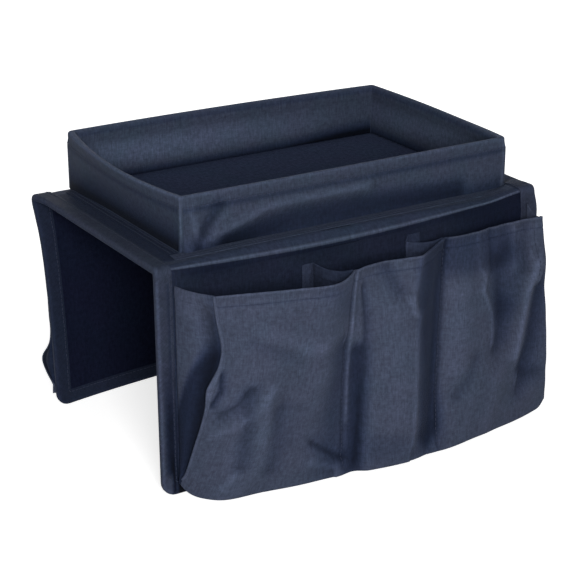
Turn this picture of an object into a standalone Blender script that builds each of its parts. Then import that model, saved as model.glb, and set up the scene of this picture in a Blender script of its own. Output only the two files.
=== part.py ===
"""Sofa armrest organizer: a stiffened top with a walled tray, and two flaps that hang from it.

Each flap carries a cloth sheet standing off it in three pockets. Metres, +Z up, X along the
armrest and the front flap towards -Y. The origin is the middle of the top's underside, which
rests on the armrest.
"""

from collections import namedtuple
from math import ceil, cos, exp, hypot, pi, radians, sin, sqrt

import bmesh
import bpy
from mathutils import Vector

MM = 0.001

# Whole organizer
organizer_length = 320 * MM
organizer_depth = 194 * MM
stand_height = 168 * MM

# Cloth, boards and binding tape
cloth = 0.8 * MM
board = 2.0 * MM
tray_board = 1.5 * MM
layer_gap = 0.3 * MM
binding_width = 12 * MM
corner_radius = 10 * MM

# The folding cloth between the top and a flap
fold_lap = 10 * MM
tight_fold_radius = 3 * MM
flap_start_drop = 5 * MM
board_setback = 3 * MM

# The tray's ledges on the top, its walls and how far each wall bows out at its rim
left_ledge = 29.5 * MM
front_ledge = 18.5 * MM
rear_ledge = 1.5 * MM
right_margin = 1.4 * MM
tray_height = 40 * MM
flange_width = 8 * MM
left_bow = 10 * MM
rear_bow = 4 * MM
right_bow = 5 * MM
front_bow = 0.5 * MM
MITRE_GAP_SHARE = 0.75
BOW_POWER = 1.5

# Pockets
mouth_drop = 8.6 * MM
foot_clearance = 1.0 * MM
pocket_root_inset = 2 * MM
right_root_inset = 5 * MM
seam_tab_width = 9 * MM
first_divider_root = -36 * MM
second_divider_root = 45 * MM
divider_slack = 3 * MM
seam_clearance = 1.6 * MM
gusset_slack = 2.5 * MM
fold_depth = 7 * MM
seam_crease_depth = 3.5 * MM

# Sizes that follow from these
half_length = organizer_length / 2
half_depth = organizer_depth / 2
core_half = board / 2 + layer_gap
panel_half = core_half + cloth
binding_out = panel_half + layer_gap + cloth
edge_inset = cloth + layer_gap
bound_edge = half_length - binding_width
top_face = 2 * panel_half
floor_height = top_face - stand_height
turn_out = half_depth - panel_half - tight_fold_radius
turn_height = panel_half - tight_fold_radius
top_edge = half_depth - fold_lap
pocket_root = bound_edge - pocket_root_inset
on_cover = layer_gap + cloth / 2
on_binding = edge_inset + on_cover

# Lean in at the fold and at the foot, and the flap's reach off its cover at the pockets'
# mouth, waist and foot
front_top_lean = radians(-0.8)
front_foot_lean = radians(-0.8)
front_reaches = (56 * MM, 46 * MM, 40 * MM)
rear_top_lean = radians(13)
rear_foot_lean = radians(1)
rear_reaches = (20 * MM, 26 * MM, 28 * MM)
lean_step = radians(1.5)

# The rear flap is twisted: it takes its whole lean at one end, and this share less at the other
REAR_TWIST_SHARE = 0.9
TWIST_POWER = 3.4
TWIST_LINE_SHARES = (-0.8, -0.6, -0.4, -0.2, 0, 0.2, 0.4, 0.6, 0.8)

# A pocket sheet follows three rails. Each point: along the flap, as a share of half its
# length, and off the flap, as a share of that rail's reach.
MOUTH_SHARES = (
    (-0.831, 0.57), (-0.67, 0.73), (-0.50, 0.89), (-0.331, 1.0), (-0.175, 0.77),
    (-0.09, 0.66), (0.06, 0.66), (0.25, 0.68), (0.406, 0.43), (0.53, 0.40),
    (0.66, 0.36), (0.81, 0.31), (0.97, 0.34),
)
WAIST_SHARES = (
    (-0.838, 0.56), (-0.70, 0.86), (-0.53, 0.93), (-0.36, 0.96), (-0.20, 0.82),
    (-0.09, 0.85), (0.06, 1.0), (0.22, 0.96), (0.33, 0.72), (0.49, 0.78),
    (0.66, 0.70), (0.83, 0.58), (0.99, 0.56),
)
FOOT_SHARES = (
    (-0.881, 0.06), (-0.806, 0.55), (-0.60, 0.66), (-0.41, 0.74), (-0.219, 0.80),
    (-0.09, 0.89), (0.06, 0.94), (0.18, 0.98), (0.27, 1.02), (0.45, 1.03),
    (0.644, 0.90), (0.83, 0.77), (1.01, 0.63),
)
WAIST_SHARE = 0.5
SEAM_STATIONS = (4, 8)
STEPS_PER_STATION = 3
SHEET_ROWS = 12
CREASE_WIDTH_SHARE = 0.018
GUSSET_FOOT_SHARE = 0.80
GUSSET_JOIN_SHARE = 0.004

# Main folds of the cloth: from (u, v) to (u, v) on the sheet, width and height, as shares
# of the sheet and of the fold depth. A negative height is a hollow.
FRONT_FOLD_SHARES = (
    ((0.02, 0.55), (0.20, 0.42), 0.030, -0.40),
    ((0.10, 0.95), (0.26, 0.45), 0.040, 0.35),
    ((0.20, 0.98), (0.22, 0.55), 0.030, -0.45),
    ((0.24, 0.88), (0.33, 0.80), 0.025, -0.50),
    ((0.375, 0.05), (0.385, 0.95), 0.022, -0.80),
    ((0.50, 0.15), (0.55, 0.95), 0.045, 0.45),
    ((0.60, 0.10), (0.62, 0.98), 0.030, -0.90),
    ((0.71, 0.20), (0.70, 0.85), 0.040, 0.55),
    ((0.80, 0.15), (0.83, 0.50), 0.030, -0.70),
    ((0.97, 0.15), (0.84, 0.75), 0.022, 0.70),
    ((0.97, 0.45), (0.90, 0.85), 0.030, -0.55),
)
REAR_FOLD_SHARES = (
    ((0.12, 0.25), (0.16, 0.95), 0.040, 0.50),
    ((0.26, 0.10), (0.24, 0.90), 0.035, -0.60),
    ((0.44, 0.30), (0.47, 0.95), 0.045, 0.55),
    ((0.57, 0.10), (0.55, 0.80), 0.035, -0.60),
    ((0.80, 0.35), (0.77, 0.95), 0.040, 0.60),
    ((1.00, 0.76), (1.00, 0.84), 0.080, 2.20),
)

Flap = namedtuple("Flap", "name turn top_lean foot_lean twist_share slack_share hold_share reaches folds")
FRONT = Flap("front", 1, front_top_lean, front_foot_lean, 0, 0.95, 0, front_reaches, FRONT_FOLD_SHARES)
REAR = Flap("rear", -1, rear_top_lean, rear_foot_lean, REAR_TWIST_SHARE, 0, 0.6, rear_reaches,
            REAR_FOLD_SHARES)


def clear_scene():
    for thing in list(bpy.data.objects):
        bpy.data.objects.remove(thing, do_unlink=True)


def finish(name, colour, roughness):
    """A plain surface: its colour, how rough it is, and no metal."""
    material = bpy.data.materials.new(name)
    material.use_nodes = True
    surface = material.node_tree.nodes["Principled BSDF"]
    surface.inputs["Base Color"].default_value = (*colour, 1)
    surface.inputs["Roughness"].default_value = roughness
    surface.inputs["Metallic"].default_value = 0
    material.diffuse_color = (*colour, 1)
    return material


def make_object(name, material, mesh_parts, parent=None, smooth=False):
    """One named object from corner points and faces, with every face pointing out."""
    corners, faces = mesh_parts
    work = bmesh.new()
    made = [work.verts.new(corner) for corner in corners]
    for face in faces:
        work.faces.new([made[index] for index in face])
    bmesh.ops.recalc_face_normals(work, faces=work.faces)
    mesh = bpy.data.meshes.new(name)
    work.to_mesh(mesh)
    work.free()
    mesh.materials.append(material)
    if smooth:
        mesh.shade_smooth()
        mesh.set_sharp_from_angle(angle=radians(40))
    thing = bpy.data.objects.new(name, mesh)
    bpy.context.scene.collection.objects.link(thing)
    if parent:
        thing.parent = parent
        thing.matrix_parent_inverse = parent.matrix_world.inverted()
    return thing


def hinge_point(name, flap):
    """An empty on the axis that a flap turns about."""
    empty = bpy.data.objects.new(name, None)
    bpy.context.scene.collection.objects.link(empty)
    empty.location = (0, -flap.turn * turn_out, turn_height)
    bpy.context.view_layer.update()
    return empty


# Closed bodies

# The step to a cell's neighbour, and the corners of the face between them
CELL_FACES = (
    ((1, 0, 0), ((1, 0, 0), (1, 1, 0), (1, 1, 1), (1, 0, 1))),
    ((-1, 0, 0), ((0, 0, 0), (0, 0, 1), (0, 1, 1), (0, 1, 0))),
    ((0, 1, 0), ((0, 1, 0), (0, 1, 1), (1, 1, 1), (1, 1, 0))),
    ((0, -1, 0), ((0, 0, 0), (1, 0, 0), (1, 0, 1), (0, 0, 1))),
    ((0, 0, 1), ((0, 0, 1), (1, 0, 1), (1, 1, 1), (0, 1, 1))),
    ((0, 0, -1), ((0, 0, 0), (0, 1, 0), (1, 1, 0), (1, 0, 0))),
)


def ordered(values):
    """The values in rising order, with no two closer than a hundredth of a cloth."""
    kept = []
    for value in sorted(values):
        if not kept or value - kept[-1] > cloth / 100:
            kept.append(value)
    return kept


def lattice(a_lines, b_lines, c_lines, filled, place):
    """Skin of the filled cells of a lattice, with each corner where place(a, b, c) puts it."""
    lines = (ordered(a_lines), ordered(b_lines), ordered(c_lines))
    counts = [len(axis) - 1 for axis in lines]
    cells = set()
    for i in range(counts[0]):
        for j in range(counts[1]):
            for k in range(counts[2]):
                middle = [(axis[n] + axis[n + 1]) / 2 for axis, n in zip(lines, (i, j, k))]
                if filled(*middle):
                    cells.add((i, j, k))
    numbers = {}
    corners = []
    faces = []
    for cell in sorted(cells):
        for step, offsets in CELL_FACES:
            if tuple(c + s for c, s in zip(cell, step)) in cells:
                continue
            face = []
            for offset in offsets:
                at = tuple(c + o for c, o in zip(cell, offset))
                if at not in numbers:
                    numbers[at] = len(corners)
                    corners.append(place(*(axis[n] for axis, n in zip(lines, at))))
                face.append(numbers[at])
            faces.append(face)
    return corners, faces


def everywhere(*_):
    return True


def cloth_solid(rows):
    """Skin of a cloth whose middle surface passes through rows of points."""
    height = len(rows)
    width = len(rows[0])

    def along(i, j, di, dj):
        ahead = rows[min(i + di, height - 1)][min(j + dj, width - 1)]
        behind = rows[max(i - di, 0)][max(j - dj, 0)]
        return ahead - behind

    corners = []
    for side in (1, -1):
        for i in range(height):
            for j in range(width):
                normal = along(i, j, 0, 1).cross(along(i, j, 1, 0)).normalized()
                corners.append(rows[i][j] + normal * side * cloth / 2)
    back = height * width

    faces = []
    for i in range(height - 1):
        for j in range(width - 1):
            a = i * width + j
            quad = (a, a + 1, a + width + 1, a + width)
            faces.append(quad)
            faces.append(tuple(back + n for n in reversed(quad)))
    rim = [j for j in range(width)]
    rim += [i * width + width - 1 for i in range(1, height)]
    rim += [(height - 1) * width + j for j in range(width - 2, -1, -1)]
    rim += [i * width for i in range(height - 2, 0, -1)]
    for first, second in zip(rim, rim[1:] + rim[:1]):
        faces.append((second, first, back + first, back + second))
    return corners, faces


# The top panel

def top_point(x, y, n):
    """A place in the top panel: n is up from the middle of its thickness."""
    return Vector((x, y, panel_half + n))


def build_top(materials):
    edge = half_length - edge_inset
    inner = bound_edge - layer_gap
    board_end = top_edge - board_setback
    cover_end = top_edge - layer_gap
    half_board = board / 2
    slabs = (
        ("top_board", "board", edge, board_end, -half_board, half_board),
        ("top_cover", "cover", edge, cover_end, core_half, panel_half),
        ("top_lining", "lining", inner, cover_end, -panel_half, -core_half),
    )
    for name, material, reach_x, reach_y, low, high in slabs:
        skin = lattice((-reach_x, reach_x), (-reach_y, reach_y), (low, high), everywhere, top_point)
        make_object(name, materials[material], skin)

    legs = (-panel_half, -core_half, panel_half + layer_gap, binding_out)
    for name, side in (("left", -1), ("right", 1)):
        lines = [side * x for x in (bound_edge, half_length - cloth, half_length)]

        def in_binding(x, _y, n):
            return n > panel_half or n < -core_half or abs(x) > half_length - cloth

        skin = lattice(lines, (-cover_end, cover_end), legs, in_binding, top_point)
        make_object(f"top_binding_{name}", materials["binding"], skin)


# The tray on the top

TRAY_STEPS = 8
Wall = namedtuple("Wall", "name along out half_run reach bow")


def tray_box():
    """The tray's outer faces: lowest and highest x, then lowest and highest y."""
    left = -half_length + left_ledge
    right = bound_edge - right_margin
    front = -half_depth + front_ledge
    rear = half_depth - rear_ledge
    return left, right, front, rear


def build_tray(materials):
    left, right, front, rear = tray_box()
    wall = 2 * edge_inset + tray_board
    centre = Vector(((left + right) / 2, (front + rear) / 2, top_face + layer_gap))
    half_x = (right - left) / 2
    half_y = (rear - front) / 2
    walls = (
        Wall("front", Vector((1, 0, 0)), Vector((0, -1, 0)), half_x, half_y, front_bow),
        Wall("rear", Vector((-1, 0, 0)), Vector((0, 1, 0)), half_x, half_y, rear_bow),
        Wall("left", Vector((0, -1, 0)), Vector((-1, 0, 0)), half_y, half_x, left_bow),
        Wall("right", Vector((0, 1, 0)), Vector((1, 0, 0)), half_y, half_x, right_bow),
    )
    shares = [-1 + 2 * step / TRAY_STEPS for step in range(TRAY_STEPS + 1)]
    heights = [0, tray_height / 3, 2 * tray_height / 3]
    roof = tray_height - cloth

    for side in walls:
        def wall_point(share, height, n):
            """A place in the wall: n is out from its outer face, share along it from its middle."""
            bow = side.bow * (1 - share * share) * (height / tray_height) ** BOW_POWER
            run = share * (side.half_run + n - layer_gap * MITRE_GAP_SHARE)
            return centre + side.along * run + side.out * (side.reach + n + bow) + Vector((0, 0, height))

        def in_sleeve(_share, height, n):
            return n > -cloth or n < cloth - wall or height > roof

        skin = lattice(shares, heights + [roof, tray_height], (-wall, cloth - wall, -cloth, 0),
                       in_sleeve, wall_point)
        make_object(f"tray_wall_sleeve_{side.name}", materials["cover"], skin)
        skin = lattice(shares, heights + [roof - layer_gap], (edge_inset - wall, -edge_inset),
                       everywhere, wall_point)
        make_object(f"tray_wall_board_{side.name}", materials["board"], skin)

    def tray_slab(name, material, x_lines, y_lines, low, high):
        def above_top(x, y, z):
            return Vector((x, y, top_face + z))

        skin = lattice(x_lines, y_lines, (low, high), everywhere, above_top)
        make_object(name, materials[material], skin)

    inside = wall + layer_gap
    x_lines = (left + inside, right - inside)
    y_lines = (front + inside, rear - inside)
    board_top = layer_gap + tray_board
    tray_slab("tray_floor_board", "board", x_lines, y_lines, layer_gap, board_top)
    tray_slab("tray_floor_lining", "lining", x_lines, y_lines,
              board_top + layer_gap, board_top + layer_gap + cloth)

    flange_top = layer_gap + cloth
    flange_left = left - layer_gap - flange_width
    flange_front = front - layer_gap
    tray_slab("tray_flange_front", "cover", (flange_left, right),
              (flange_front - flange_width, flange_front), layer_gap, flange_top)
    tray_slab("tray_flange_left", "cover", (flange_left, left - layer_gap),
              (front, top_edge), layer_gap, flange_top)


# The flaps

def sinc(angle):
    return sin(angle) / angle if angle else 1


def flap_start(flap):
    """Where the flap's middle line leaves the fold: outwards from the centre, and height."""
    out = turn_out + tight_fold_radius * cos(flap.top_lean)
    height = turn_height - tight_fold_radius * sin(flap.top_lean)
    return out, height


def flap_run(flap):
    """Length down the flap's middle line from the fold to the floor."""
    bend = flap.top_lean - flap.foot_lean
    mean = (flap.top_lean + flap.foot_lean) / 2
    return (flap_start(flap)[1] - floor_height) / (sinc(bend / 2) * cos(mean))


def lean_taken(flap, x):
    """The share of its lean that the flap takes at x: all at its right end, less to its left."""
    along = max(0, (1 + x / half_length) / 2)
    return 1 - flap.twist_share * (1 - along ** TWIST_POWER)


def flap_point(flap, x, down, n):
    """A place in the flap: down its middle line from the fold, and n out from that line.

    The flap leans in by its top lean at the fold, and evenly less down to its foot lean.
    """
    out, height = flap_start(flap)
    lean = flap.top_lean + (flap.foot_lean - flap.top_lean) * down / flap_run(flap)
    mean = (flap.top_lean + lean) / 2
    chord = down * sinc((flap.top_lean - lean) / 2)
    out += n * cos(lean) - chord * sin(mean) * lean_taken(flap, x)
    height -= n * sin(lean) + chord * cos(mean)
    return Vector((flap.turn * x, -flap.turn * out, height))


def lines_across(flap, reach):
    """Places along the flap where its pieces have corners: more of them where it is twisted."""
    lines = [-reach, reach]
    if flap.twist_share:
        lines += [half_length * share for share in TWIST_LINE_SHARES]
        lines += [side * bound_edge for side in (-1, 1) if bound_edge < reach]
    return lines


def lines_down(flap, first, last):
    """Levels down the flap where its panel's pieces have corners, all of them alike."""
    run = flap_run(flap)
    steps = ceil((flap.top_lean - flap.foot_lean) / lean_step)
    levels = [run * step / steps for step in range(1, steps)]
    levels += [run - corner_radius * (1 - sin(radians(turn))) for turn in (0, 30, 60)]
    levels += [run - binding_width, run - edge_inset, run - cloth]
    return [first] + [level for level in levels if first < level < last] + [last]


def build_flap_panel(flap, materials, hinge):
    run = flap_run(flap)
    start = flap_start_drop
    edge = half_length - edge_inset
    inner = bound_edge - layer_gap
    half_board = board / 2

    def rounded_point(x, down, n):
        """A place in the flap, drawn in sideways where its lower corners are round."""
        past = min(corner_radius, max(0, down - (run - corner_radius)))
        width = half_length - corner_radius + sqrt(corner_radius ** 2 - past ** 2)
        return flap_point(flap, x * width / half_length, down, n)

    slabs = (
        ("board", "board", edge, start + board_setback, run - edge_inset, -half_board, half_board),
        ("cover", "cover", edge, start, run - edge_inset, core_half, panel_half),
        ("lining", "lining", inner, start, run - binding_width - layer_gap, -panel_half, -core_half),
    )
    for name, material, reach, first, last, low, high in slabs:
        skin = lattice(lines_across(flap, reach), lines_down(flap, first, last), (low, high),
                       everywhere, rounded_point)
        make_object(f"{flap.name}_flap_{name}", materials[material], skin, hinge)

    def in_binding(x, down, n):
        if abs(x) > half_length - cloth or down > run - cloth:
            return True
        bound = abs(x) > bound_edge or down > run - binding_width
        return bound and (n > panel_half or n < -core_half)

    x_lines = lines_across(flap, half_length)
    x_lines += [side * x for side in (-1, 1) for x in (bound_edge, half_length - cloth)]
    legs = (-panel_half, -core_half, panel_half + layer_gap, binding_out)
    skin = lattice(x_lines, lines_down(flap, start, run), legs, in_binding, rounded_point)
    make_object(f"{flap.name}_flap_binding", materials["binding"], skin, hinge)


# The folding cloth between the top and a flap

ARC_STEPS = 6
SLACK_LINE_SHARES = (0, 0.3, 0.6, 0.85)


def build_fold_cloth(flap, materials, hinge):
    """Cover and lining of the fold as one piece, joined by its bound ends."""
    end_down = flap_start_drop - layer_gap
    middle_out = half_depth - panel_half
    room = min(middle_out - top_edge, panel_half - flap_point(flap, 0, end_down, 0).z)
    turned = pi / 2 + flap.top_lean

    def fold_point(x, t, n):
        """t runs 0 to 1 along the top, 1 to 2 round the bend and 2 to 3 down to the flap."""
        off_centre = min(1, abs(x) / bound_edge)
        slack = flap.slack_share * (1 - off_centre ** 4)
        radius = tight_fold_radius + (room - tight_fold_radius) * slack
        angle = turned * min(1, max(0, t - 1))
        out = middle_out - radius + radius * sin(angle)
        height = panel_half - radius + radius * cos(angle)
        if t < 1:
            out = top_edge + (out - top_edge) * t
        if t > 2:
            end = flap_point(flap, x, end_down, 0)
            out += (-flap.turn * end.y - out) * (t - 2)
            height += (end.z - height) * (t - 2)
        return Vector((flap.turn * x, -flap.turn * (out + n * sin(angle)), height + n * cos(angle)))

    def in_cloth(x, _t, n):
        if abs(x) > half_length - cloth or n < -core_half:
            return True
        return n > panel_half and abs(x) > bound_edge or core_half < n < panel_half

    edges = [bound_edge, half_length - cloth, half_length]
    if flap.slack_share:
        edges += [bound_edge * share for share in SLACK_LINE_SHARES]
    x_lines = [side * x for side in (-1, 1) for x in edges]
    x_lines += lines_across(flap, half_length)
    t_lines = [0, 3] + [1 + step / ARC_STEPS for step in range(ARC_STEPS + 1)]
    n_lines = (-panel_half, -core_half, core_half, panel_half, binding_out)
    skin = lattice(x_lines, t_lines, n_lines, in_cloth, fold_point)
    make_object(f"{flap.name}_fold_cloth", materials["cover"], skin, hinge)


# The pockets

def on_rail(shares, reach, u):
    """Along the flap and off it, at u from 0 to 1 on a smooth curve through a rail's points."""
    last = len(shares) - 1
    start = min(int(u * last), last - 1)
    t = u * last - start
    a, b, c, d = (shares[max(0, min(last, start + step))] for step in (-1, 0, 1, 2))

    def curve(axis):
        p, q, r, s = a[axis], b[axis], c[axis], d[axis]
        return q + t / 2 * (r - p + t * (2 * p - 5 * q + 4 * r - s + t * (3 * (q - r) + s - p)))

    return half_length * curve(0), reach * curve(1)


def fold_height(folds, u, v):
    """How far the cloth's main folds lift it off its rails, as a share of the fold depth."""
    height = 0
    for (u0, v0), (u1, v1), width, rise in folds:
        du, dv = u1 - u0, v1 - v0
        near = max(0, min(1, ((u - u0) * du + (v - v0) * dv) / (du * du + dv * dv)))
        off = hypot(u - u0 - near * du, (v - v0 - near * dv) / 2)
        height += rise * exp(-(off / width) ** 2)
    return height


def sheet_place(flap, u, v):
    """A place on the pocket sheet: along the flap, down it and off its cover."""
    rails = zip((MOUTH_SHARES, WAIST_SHARES, FOOT_SHARES), flap.reaches)
    (x0, k0), (x1, k1), (x2, k2) = (on_rail(shares, reach, u) for shares, reach in rails)
    w = WAIST_SHARE
    first = (v - w) * (v - 1) / w
    second = v * (v - 1) / (w * (w - 1))
    third = v * (v - w) / (1 - w)
    x = x0 * first + x1 * second + x2 * third
    off = k0 * first + k1 * second + k2 * third
    off *= 1 - flap.hold_share * max(0, 4 * u - 3) ** 2
    size = sqrt(flap.reaches[0] / FRONT.reaches[0])
    off += fold_depth * size * fold_height(flap.folds, u, v)
    for station in SEAM_STATIONS:
        away = (u - station / (len(MOUTH_SHARES) - 1)) / CREASE_WIDTH_SHARE
        off -= seam_crease_depth * size * exp(-abs(away))
    down = mouth_drop + v * (flap_run(flap) - foot_clearance - mouth_drop)
    return x, down, max(off, on_binding)


def build_pocket_sheet(flap, materials, hinge):
    columns = (len(MOUTH_SHARES) - 1) * STEPS_PER_STATION
    rows = []
    for i in range(SHEET_ROWS + 1):
        row = []
        for j in range(columns + 1):
            x, down, off = sheet_place(flap, j / columns, i / SHEET_ROWS)
            row.append(flap_point(flap, x, down, panel_half + off))
        rows.append(row)
    make_object(f"{flap.name}_pocket_sheet", materials["pocket"], cloth_solid(rows), hinge, True)


def hanging_wall(flap, root, root_off, u, slack, foot_share, tab=0):
    """Rows of points of a cloth wall from its root on the flap out to the sheet at u.

    It may start with a tab along the cover, where it is sewn, and bellies sideways by slack.
    """
    steps = 5
    rows = []
    for i in range(SHEET_ROWS + 1):
        v = i / SHEET_ROWS * foot_share
        row = []
        x1, down, off1 = sheet_place(flap, u, v)
        length = hypot(x1 - root, off1 - root_off)
        reach = 1 - seam_clearance / length
        if tab:
            row.append(flap_point(flap, root - tab, down, panel_half + root_off))
        for step in range(steps + 1):
            t = reach * step / steps
            x = root + (x1 - root) * t + slack * sin(pi * t)
            row.append(flap_point(flap, x, down, panel_half + root_off + (off1 - root_off) * t))
        rows.append(row)
    return rows


def build_pocket_walls(flap, materials, hinge):
    """Two gussets at the ends and two dividers between the pockets."""
    depth = flap_run(flap) - foot_clearance - mouth_drop
    low = 1 - (binding_width + pocket_root_inset) / depth
    right_root = half_length - right_root_inset
    join = GUSSET_JOIN_SHARE
    seams = [station / (len(MOUTH_SHARES) - 1) for station in SEAM_STATIONS]
    walls = (
        ("gusset_left", -pocket_root, on_cover, join, -gusset_slack, GUSSET_FOOT_SHARE, 0),
        ("gusset_right", right_root, on_binding, 1 - join, gusset_slack, low, 0),
        ("divider_1", first_divider_root, on_cover, seams[0], -divider_slack, low, seam_tab_width),
        ("divider_2", second_divider_root, on_cover, seams[1], -divider_slack, low, seam_tab_width),
    )
    for name, *wall in walls:
        skin = cloth_solid(hanging_wall(flap, *wall))
        make_object(f"{flap.name}_pocket_{name}", materials["pocket"], skin, hinge, True)


def build_pocket_floor(flap, materials, hinge):
    """The cloth that closes the pockets at the foot, from the binding out to the sheet."""
    columns = (len(FOOT_SHARES) - 1) * STEPS_PER_STATION
    across = 3
    level = flap_run(flap) - foot_clearance - cloth
    near = on_binding
    rows = []
    for i in range(across + 1):
        row = []
        for j in range(STEPS_PER_STATION, columns + 1):
            x1, _, off1 = sheet_place(flap, j / columns, 1)
            x0 = max(-pocket_root, min(pocket_root, x1))
            length = hypot(x1 - x0, off1 - near)
            t = (1 - seam_clearance / length) * i / across
            row.append(flap_point(flap, x0 + (x1 - x0) * t, level, panel_half + near + (off1 - near) * t))
        rows.append(row)
    make_object(f"{flap.name}_pocket_floor", materials["pocket"], cloth_solid(rows), hinge)


def build():
    clear_scene()
    materials = {
        "cover": finish("cover_cloth", (0.030, 0.036, 0.062), 0.78),
        "pocket": finish("pocket_cloth", (0.034, 0.041, 0.070), 0.80),
        "binding": finish("binding_tape", (0.026, 0.031, 0.052), 0.72),
        "lining": finish("lining_cloth", (0.012, 0.014, 0.026), 0.85),
        "board": finish("stiff_board", (0.060, 0.060, 0.065), 0.60),
    }
    build_top(materials)
    build_tray(materials)
    for flap in (FRONT, REAR):
        hinge = hinge_point(f"{flap.name}_hinge", flap)
        build_fold_cloth(flap, materials, hinge)
        build_flap_panel(flap, materials, hinge)
        build_pocket_sheet(flap, materials, hinge)
        build_pocket_walls(flap, materials, hinge)
        build_pocket_floor(flap, materials, hinge)


build()
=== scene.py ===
"""Sofa armrest organizer: cloth, binding tape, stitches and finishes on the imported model.

Metres, +Z up, X along the armrest and the front flap towards -Y. Every cloth is a closed sheet of
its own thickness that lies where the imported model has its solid.
"""

from collections import namedtuple
from math import cos, pi, radians, sin, sqrt

import bpy
import numpy as np
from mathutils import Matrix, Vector


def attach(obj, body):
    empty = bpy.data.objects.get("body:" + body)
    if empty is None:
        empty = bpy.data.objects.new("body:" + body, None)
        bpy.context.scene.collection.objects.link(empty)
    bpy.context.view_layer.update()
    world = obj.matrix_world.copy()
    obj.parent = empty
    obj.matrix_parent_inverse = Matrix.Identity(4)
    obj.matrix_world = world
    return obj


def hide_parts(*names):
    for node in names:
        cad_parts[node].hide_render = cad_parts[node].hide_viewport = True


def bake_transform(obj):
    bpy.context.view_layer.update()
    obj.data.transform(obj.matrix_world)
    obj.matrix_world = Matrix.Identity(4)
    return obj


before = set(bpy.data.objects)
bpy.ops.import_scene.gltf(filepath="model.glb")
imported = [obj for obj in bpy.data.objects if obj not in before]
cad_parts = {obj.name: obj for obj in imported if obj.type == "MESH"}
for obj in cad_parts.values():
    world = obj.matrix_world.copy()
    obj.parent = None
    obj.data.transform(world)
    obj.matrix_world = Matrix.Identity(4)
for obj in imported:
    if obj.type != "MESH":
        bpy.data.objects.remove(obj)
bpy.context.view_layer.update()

MM = 0.001

# Whole organizer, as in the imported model
ORGANIZER_LENGTH = 320 * MM
ORGANIZER_DEPTH = 194 * MM
STAND_HEIGHT = 168 * MM
CLOTH = 0.8 * MM
BOARD = 2.0 * MM
TRAY_BOARD = 1.5 * MM
LAYER_GAP = 0.3 * MM
BINDING_WIDTH = 12 * MM
CORNER_RADIUS = 10 * MM
FOLD_LAP = 10 * MM
TIGHT_FOLD_RADIUS = 3 * MM
FLAP_START_DROP = 5 * MM
HALF_LENGTH = ORGANIZER_LENGTH / 2
HALF_DEPTH = ORGANIZER_DEPTH / 2
CORE_HALF = BOARD / 2 + LAYER_GAP
PANEL_HALF = CORE_HALF + CLOTH
EDGE_INSET = CLOTH + LAYER_GAP
BOUND_EDGE = HALF_LENGTH - BINDING_WIDTH
TOP_FACE = 2 * PANEL_HALF
FLOOR_HEIGHT = TOP_FACE - STAND_HEIGHT
TURN_OUT = HALF_DEPTH - PANEL_HALF - TIGHT_FOLD_RADIUS
TURN_HEIGHT = PANEL_HALF - TIGHT_FOLD_RADIUS
TOP_EDGE = HALF_DEPTH - FOLD_LAP
ON_COVER = LAYER_GAP + CLOTH / 2
ON_BINDING = EDGE_INSET + ON_COVER
FOLD_STEP = 5 * MM
FOLD_END = TOP_EDGE + 3 * FOLD_STEP
CORNER_LIFT = 5 * MM

# Middle surfaces of the cloths, off the middle of a panel's thickness
COVER_OFF = CORE_HALF + CLOTH / 2
LINING_OFF = -COVER_OFF
TAPE_OFF = PANEL_HALF + ON_COVER

# The tray
LEFT_LEDGE = 29.5 * MM
FRONT_LEDGE = 18.5 * MM
REAR_LEDGE = 1.5 * MM
RIGHT_MARGIN = 1.4 * MM
TRAY_HEIGHT = 40 * MM
WALL = 2 * EDGE_INSET + TRAY_BOARD
FLANGE_WIDTH = 8 * MM
BOW_POWER = 1.5

# Pockets
MOUTH_DROP = 8.6 * MM
FOOT_CLEARANCE = 1.0 * MM
POCKET_ROOT = BOUND_EDGE - 2 * MM
RIGHT_ROOT = HALF_LENGTH - 5 * MM
SEAM_TAB_WIDTH = 9 * MM
SEAM_CREASE_DEPTH = 3.5 * MM
SEAM_CLEARANCE = 1.6 * MM
SHEET_LENGTH = 305 * MM
SHEET_DROP = 158 * MM
HEM = 8 * MM
HEM_SHARE = HEM / SHEET_DROP

REAR_TWIST_SHARE = 0.9
TWIST_POWER = 3.4

# A pocket sheet's rails: along the flap in half lengths, and off it as a share of the rail's reach
MOUTH_SHARES = (
    (-0.831, 0.57), (-0.67, 0.73), (-0.50, 0.89), (-0.331, 1.0), (-0.175, 0.77),
    (-0.09, 0.66), (0.06, 0.66), (0.25, 0.68), (0.406, 0.43), (0.53, 0.40),
    (0.66, 0.36), (0.81, 0.31), (0.97, 0.34),
)
WAIST_SHARES = (
    (-0.838, 0.56), (-0.70, 0.86), (-0.53, 0.93), (-0.36, 0.96), (-0.20, 0.82),
    (-0.09, 0.85), (0.06, 1.0), (0.22, 0.96), (0.33, 0.72), (0.49, 0.78),
    (0.66, 0.70), (0.83, 0.58), (0.99, 0.56),
)
FOOT_SHARES = (
    (-0.881, 0.10), (-0.806, 0.60), (-0.60, 0.79), (-0.41, 0.92), (-0.219, 1.02),
    (-0.09, 1.11), (0.06, 1.17), (0.18, 1.20), (0.27, 1.18), (0.45, 1.08),
    (0.644, 0.95), (0.83, 0.82), (1.01, 0.59),
)
WAIST_SHARE = 0.5
SEAM_SHARES = (4 / 12, 8 / 12)
CREASE_WIDTH_SHARE = 0.018

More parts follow.
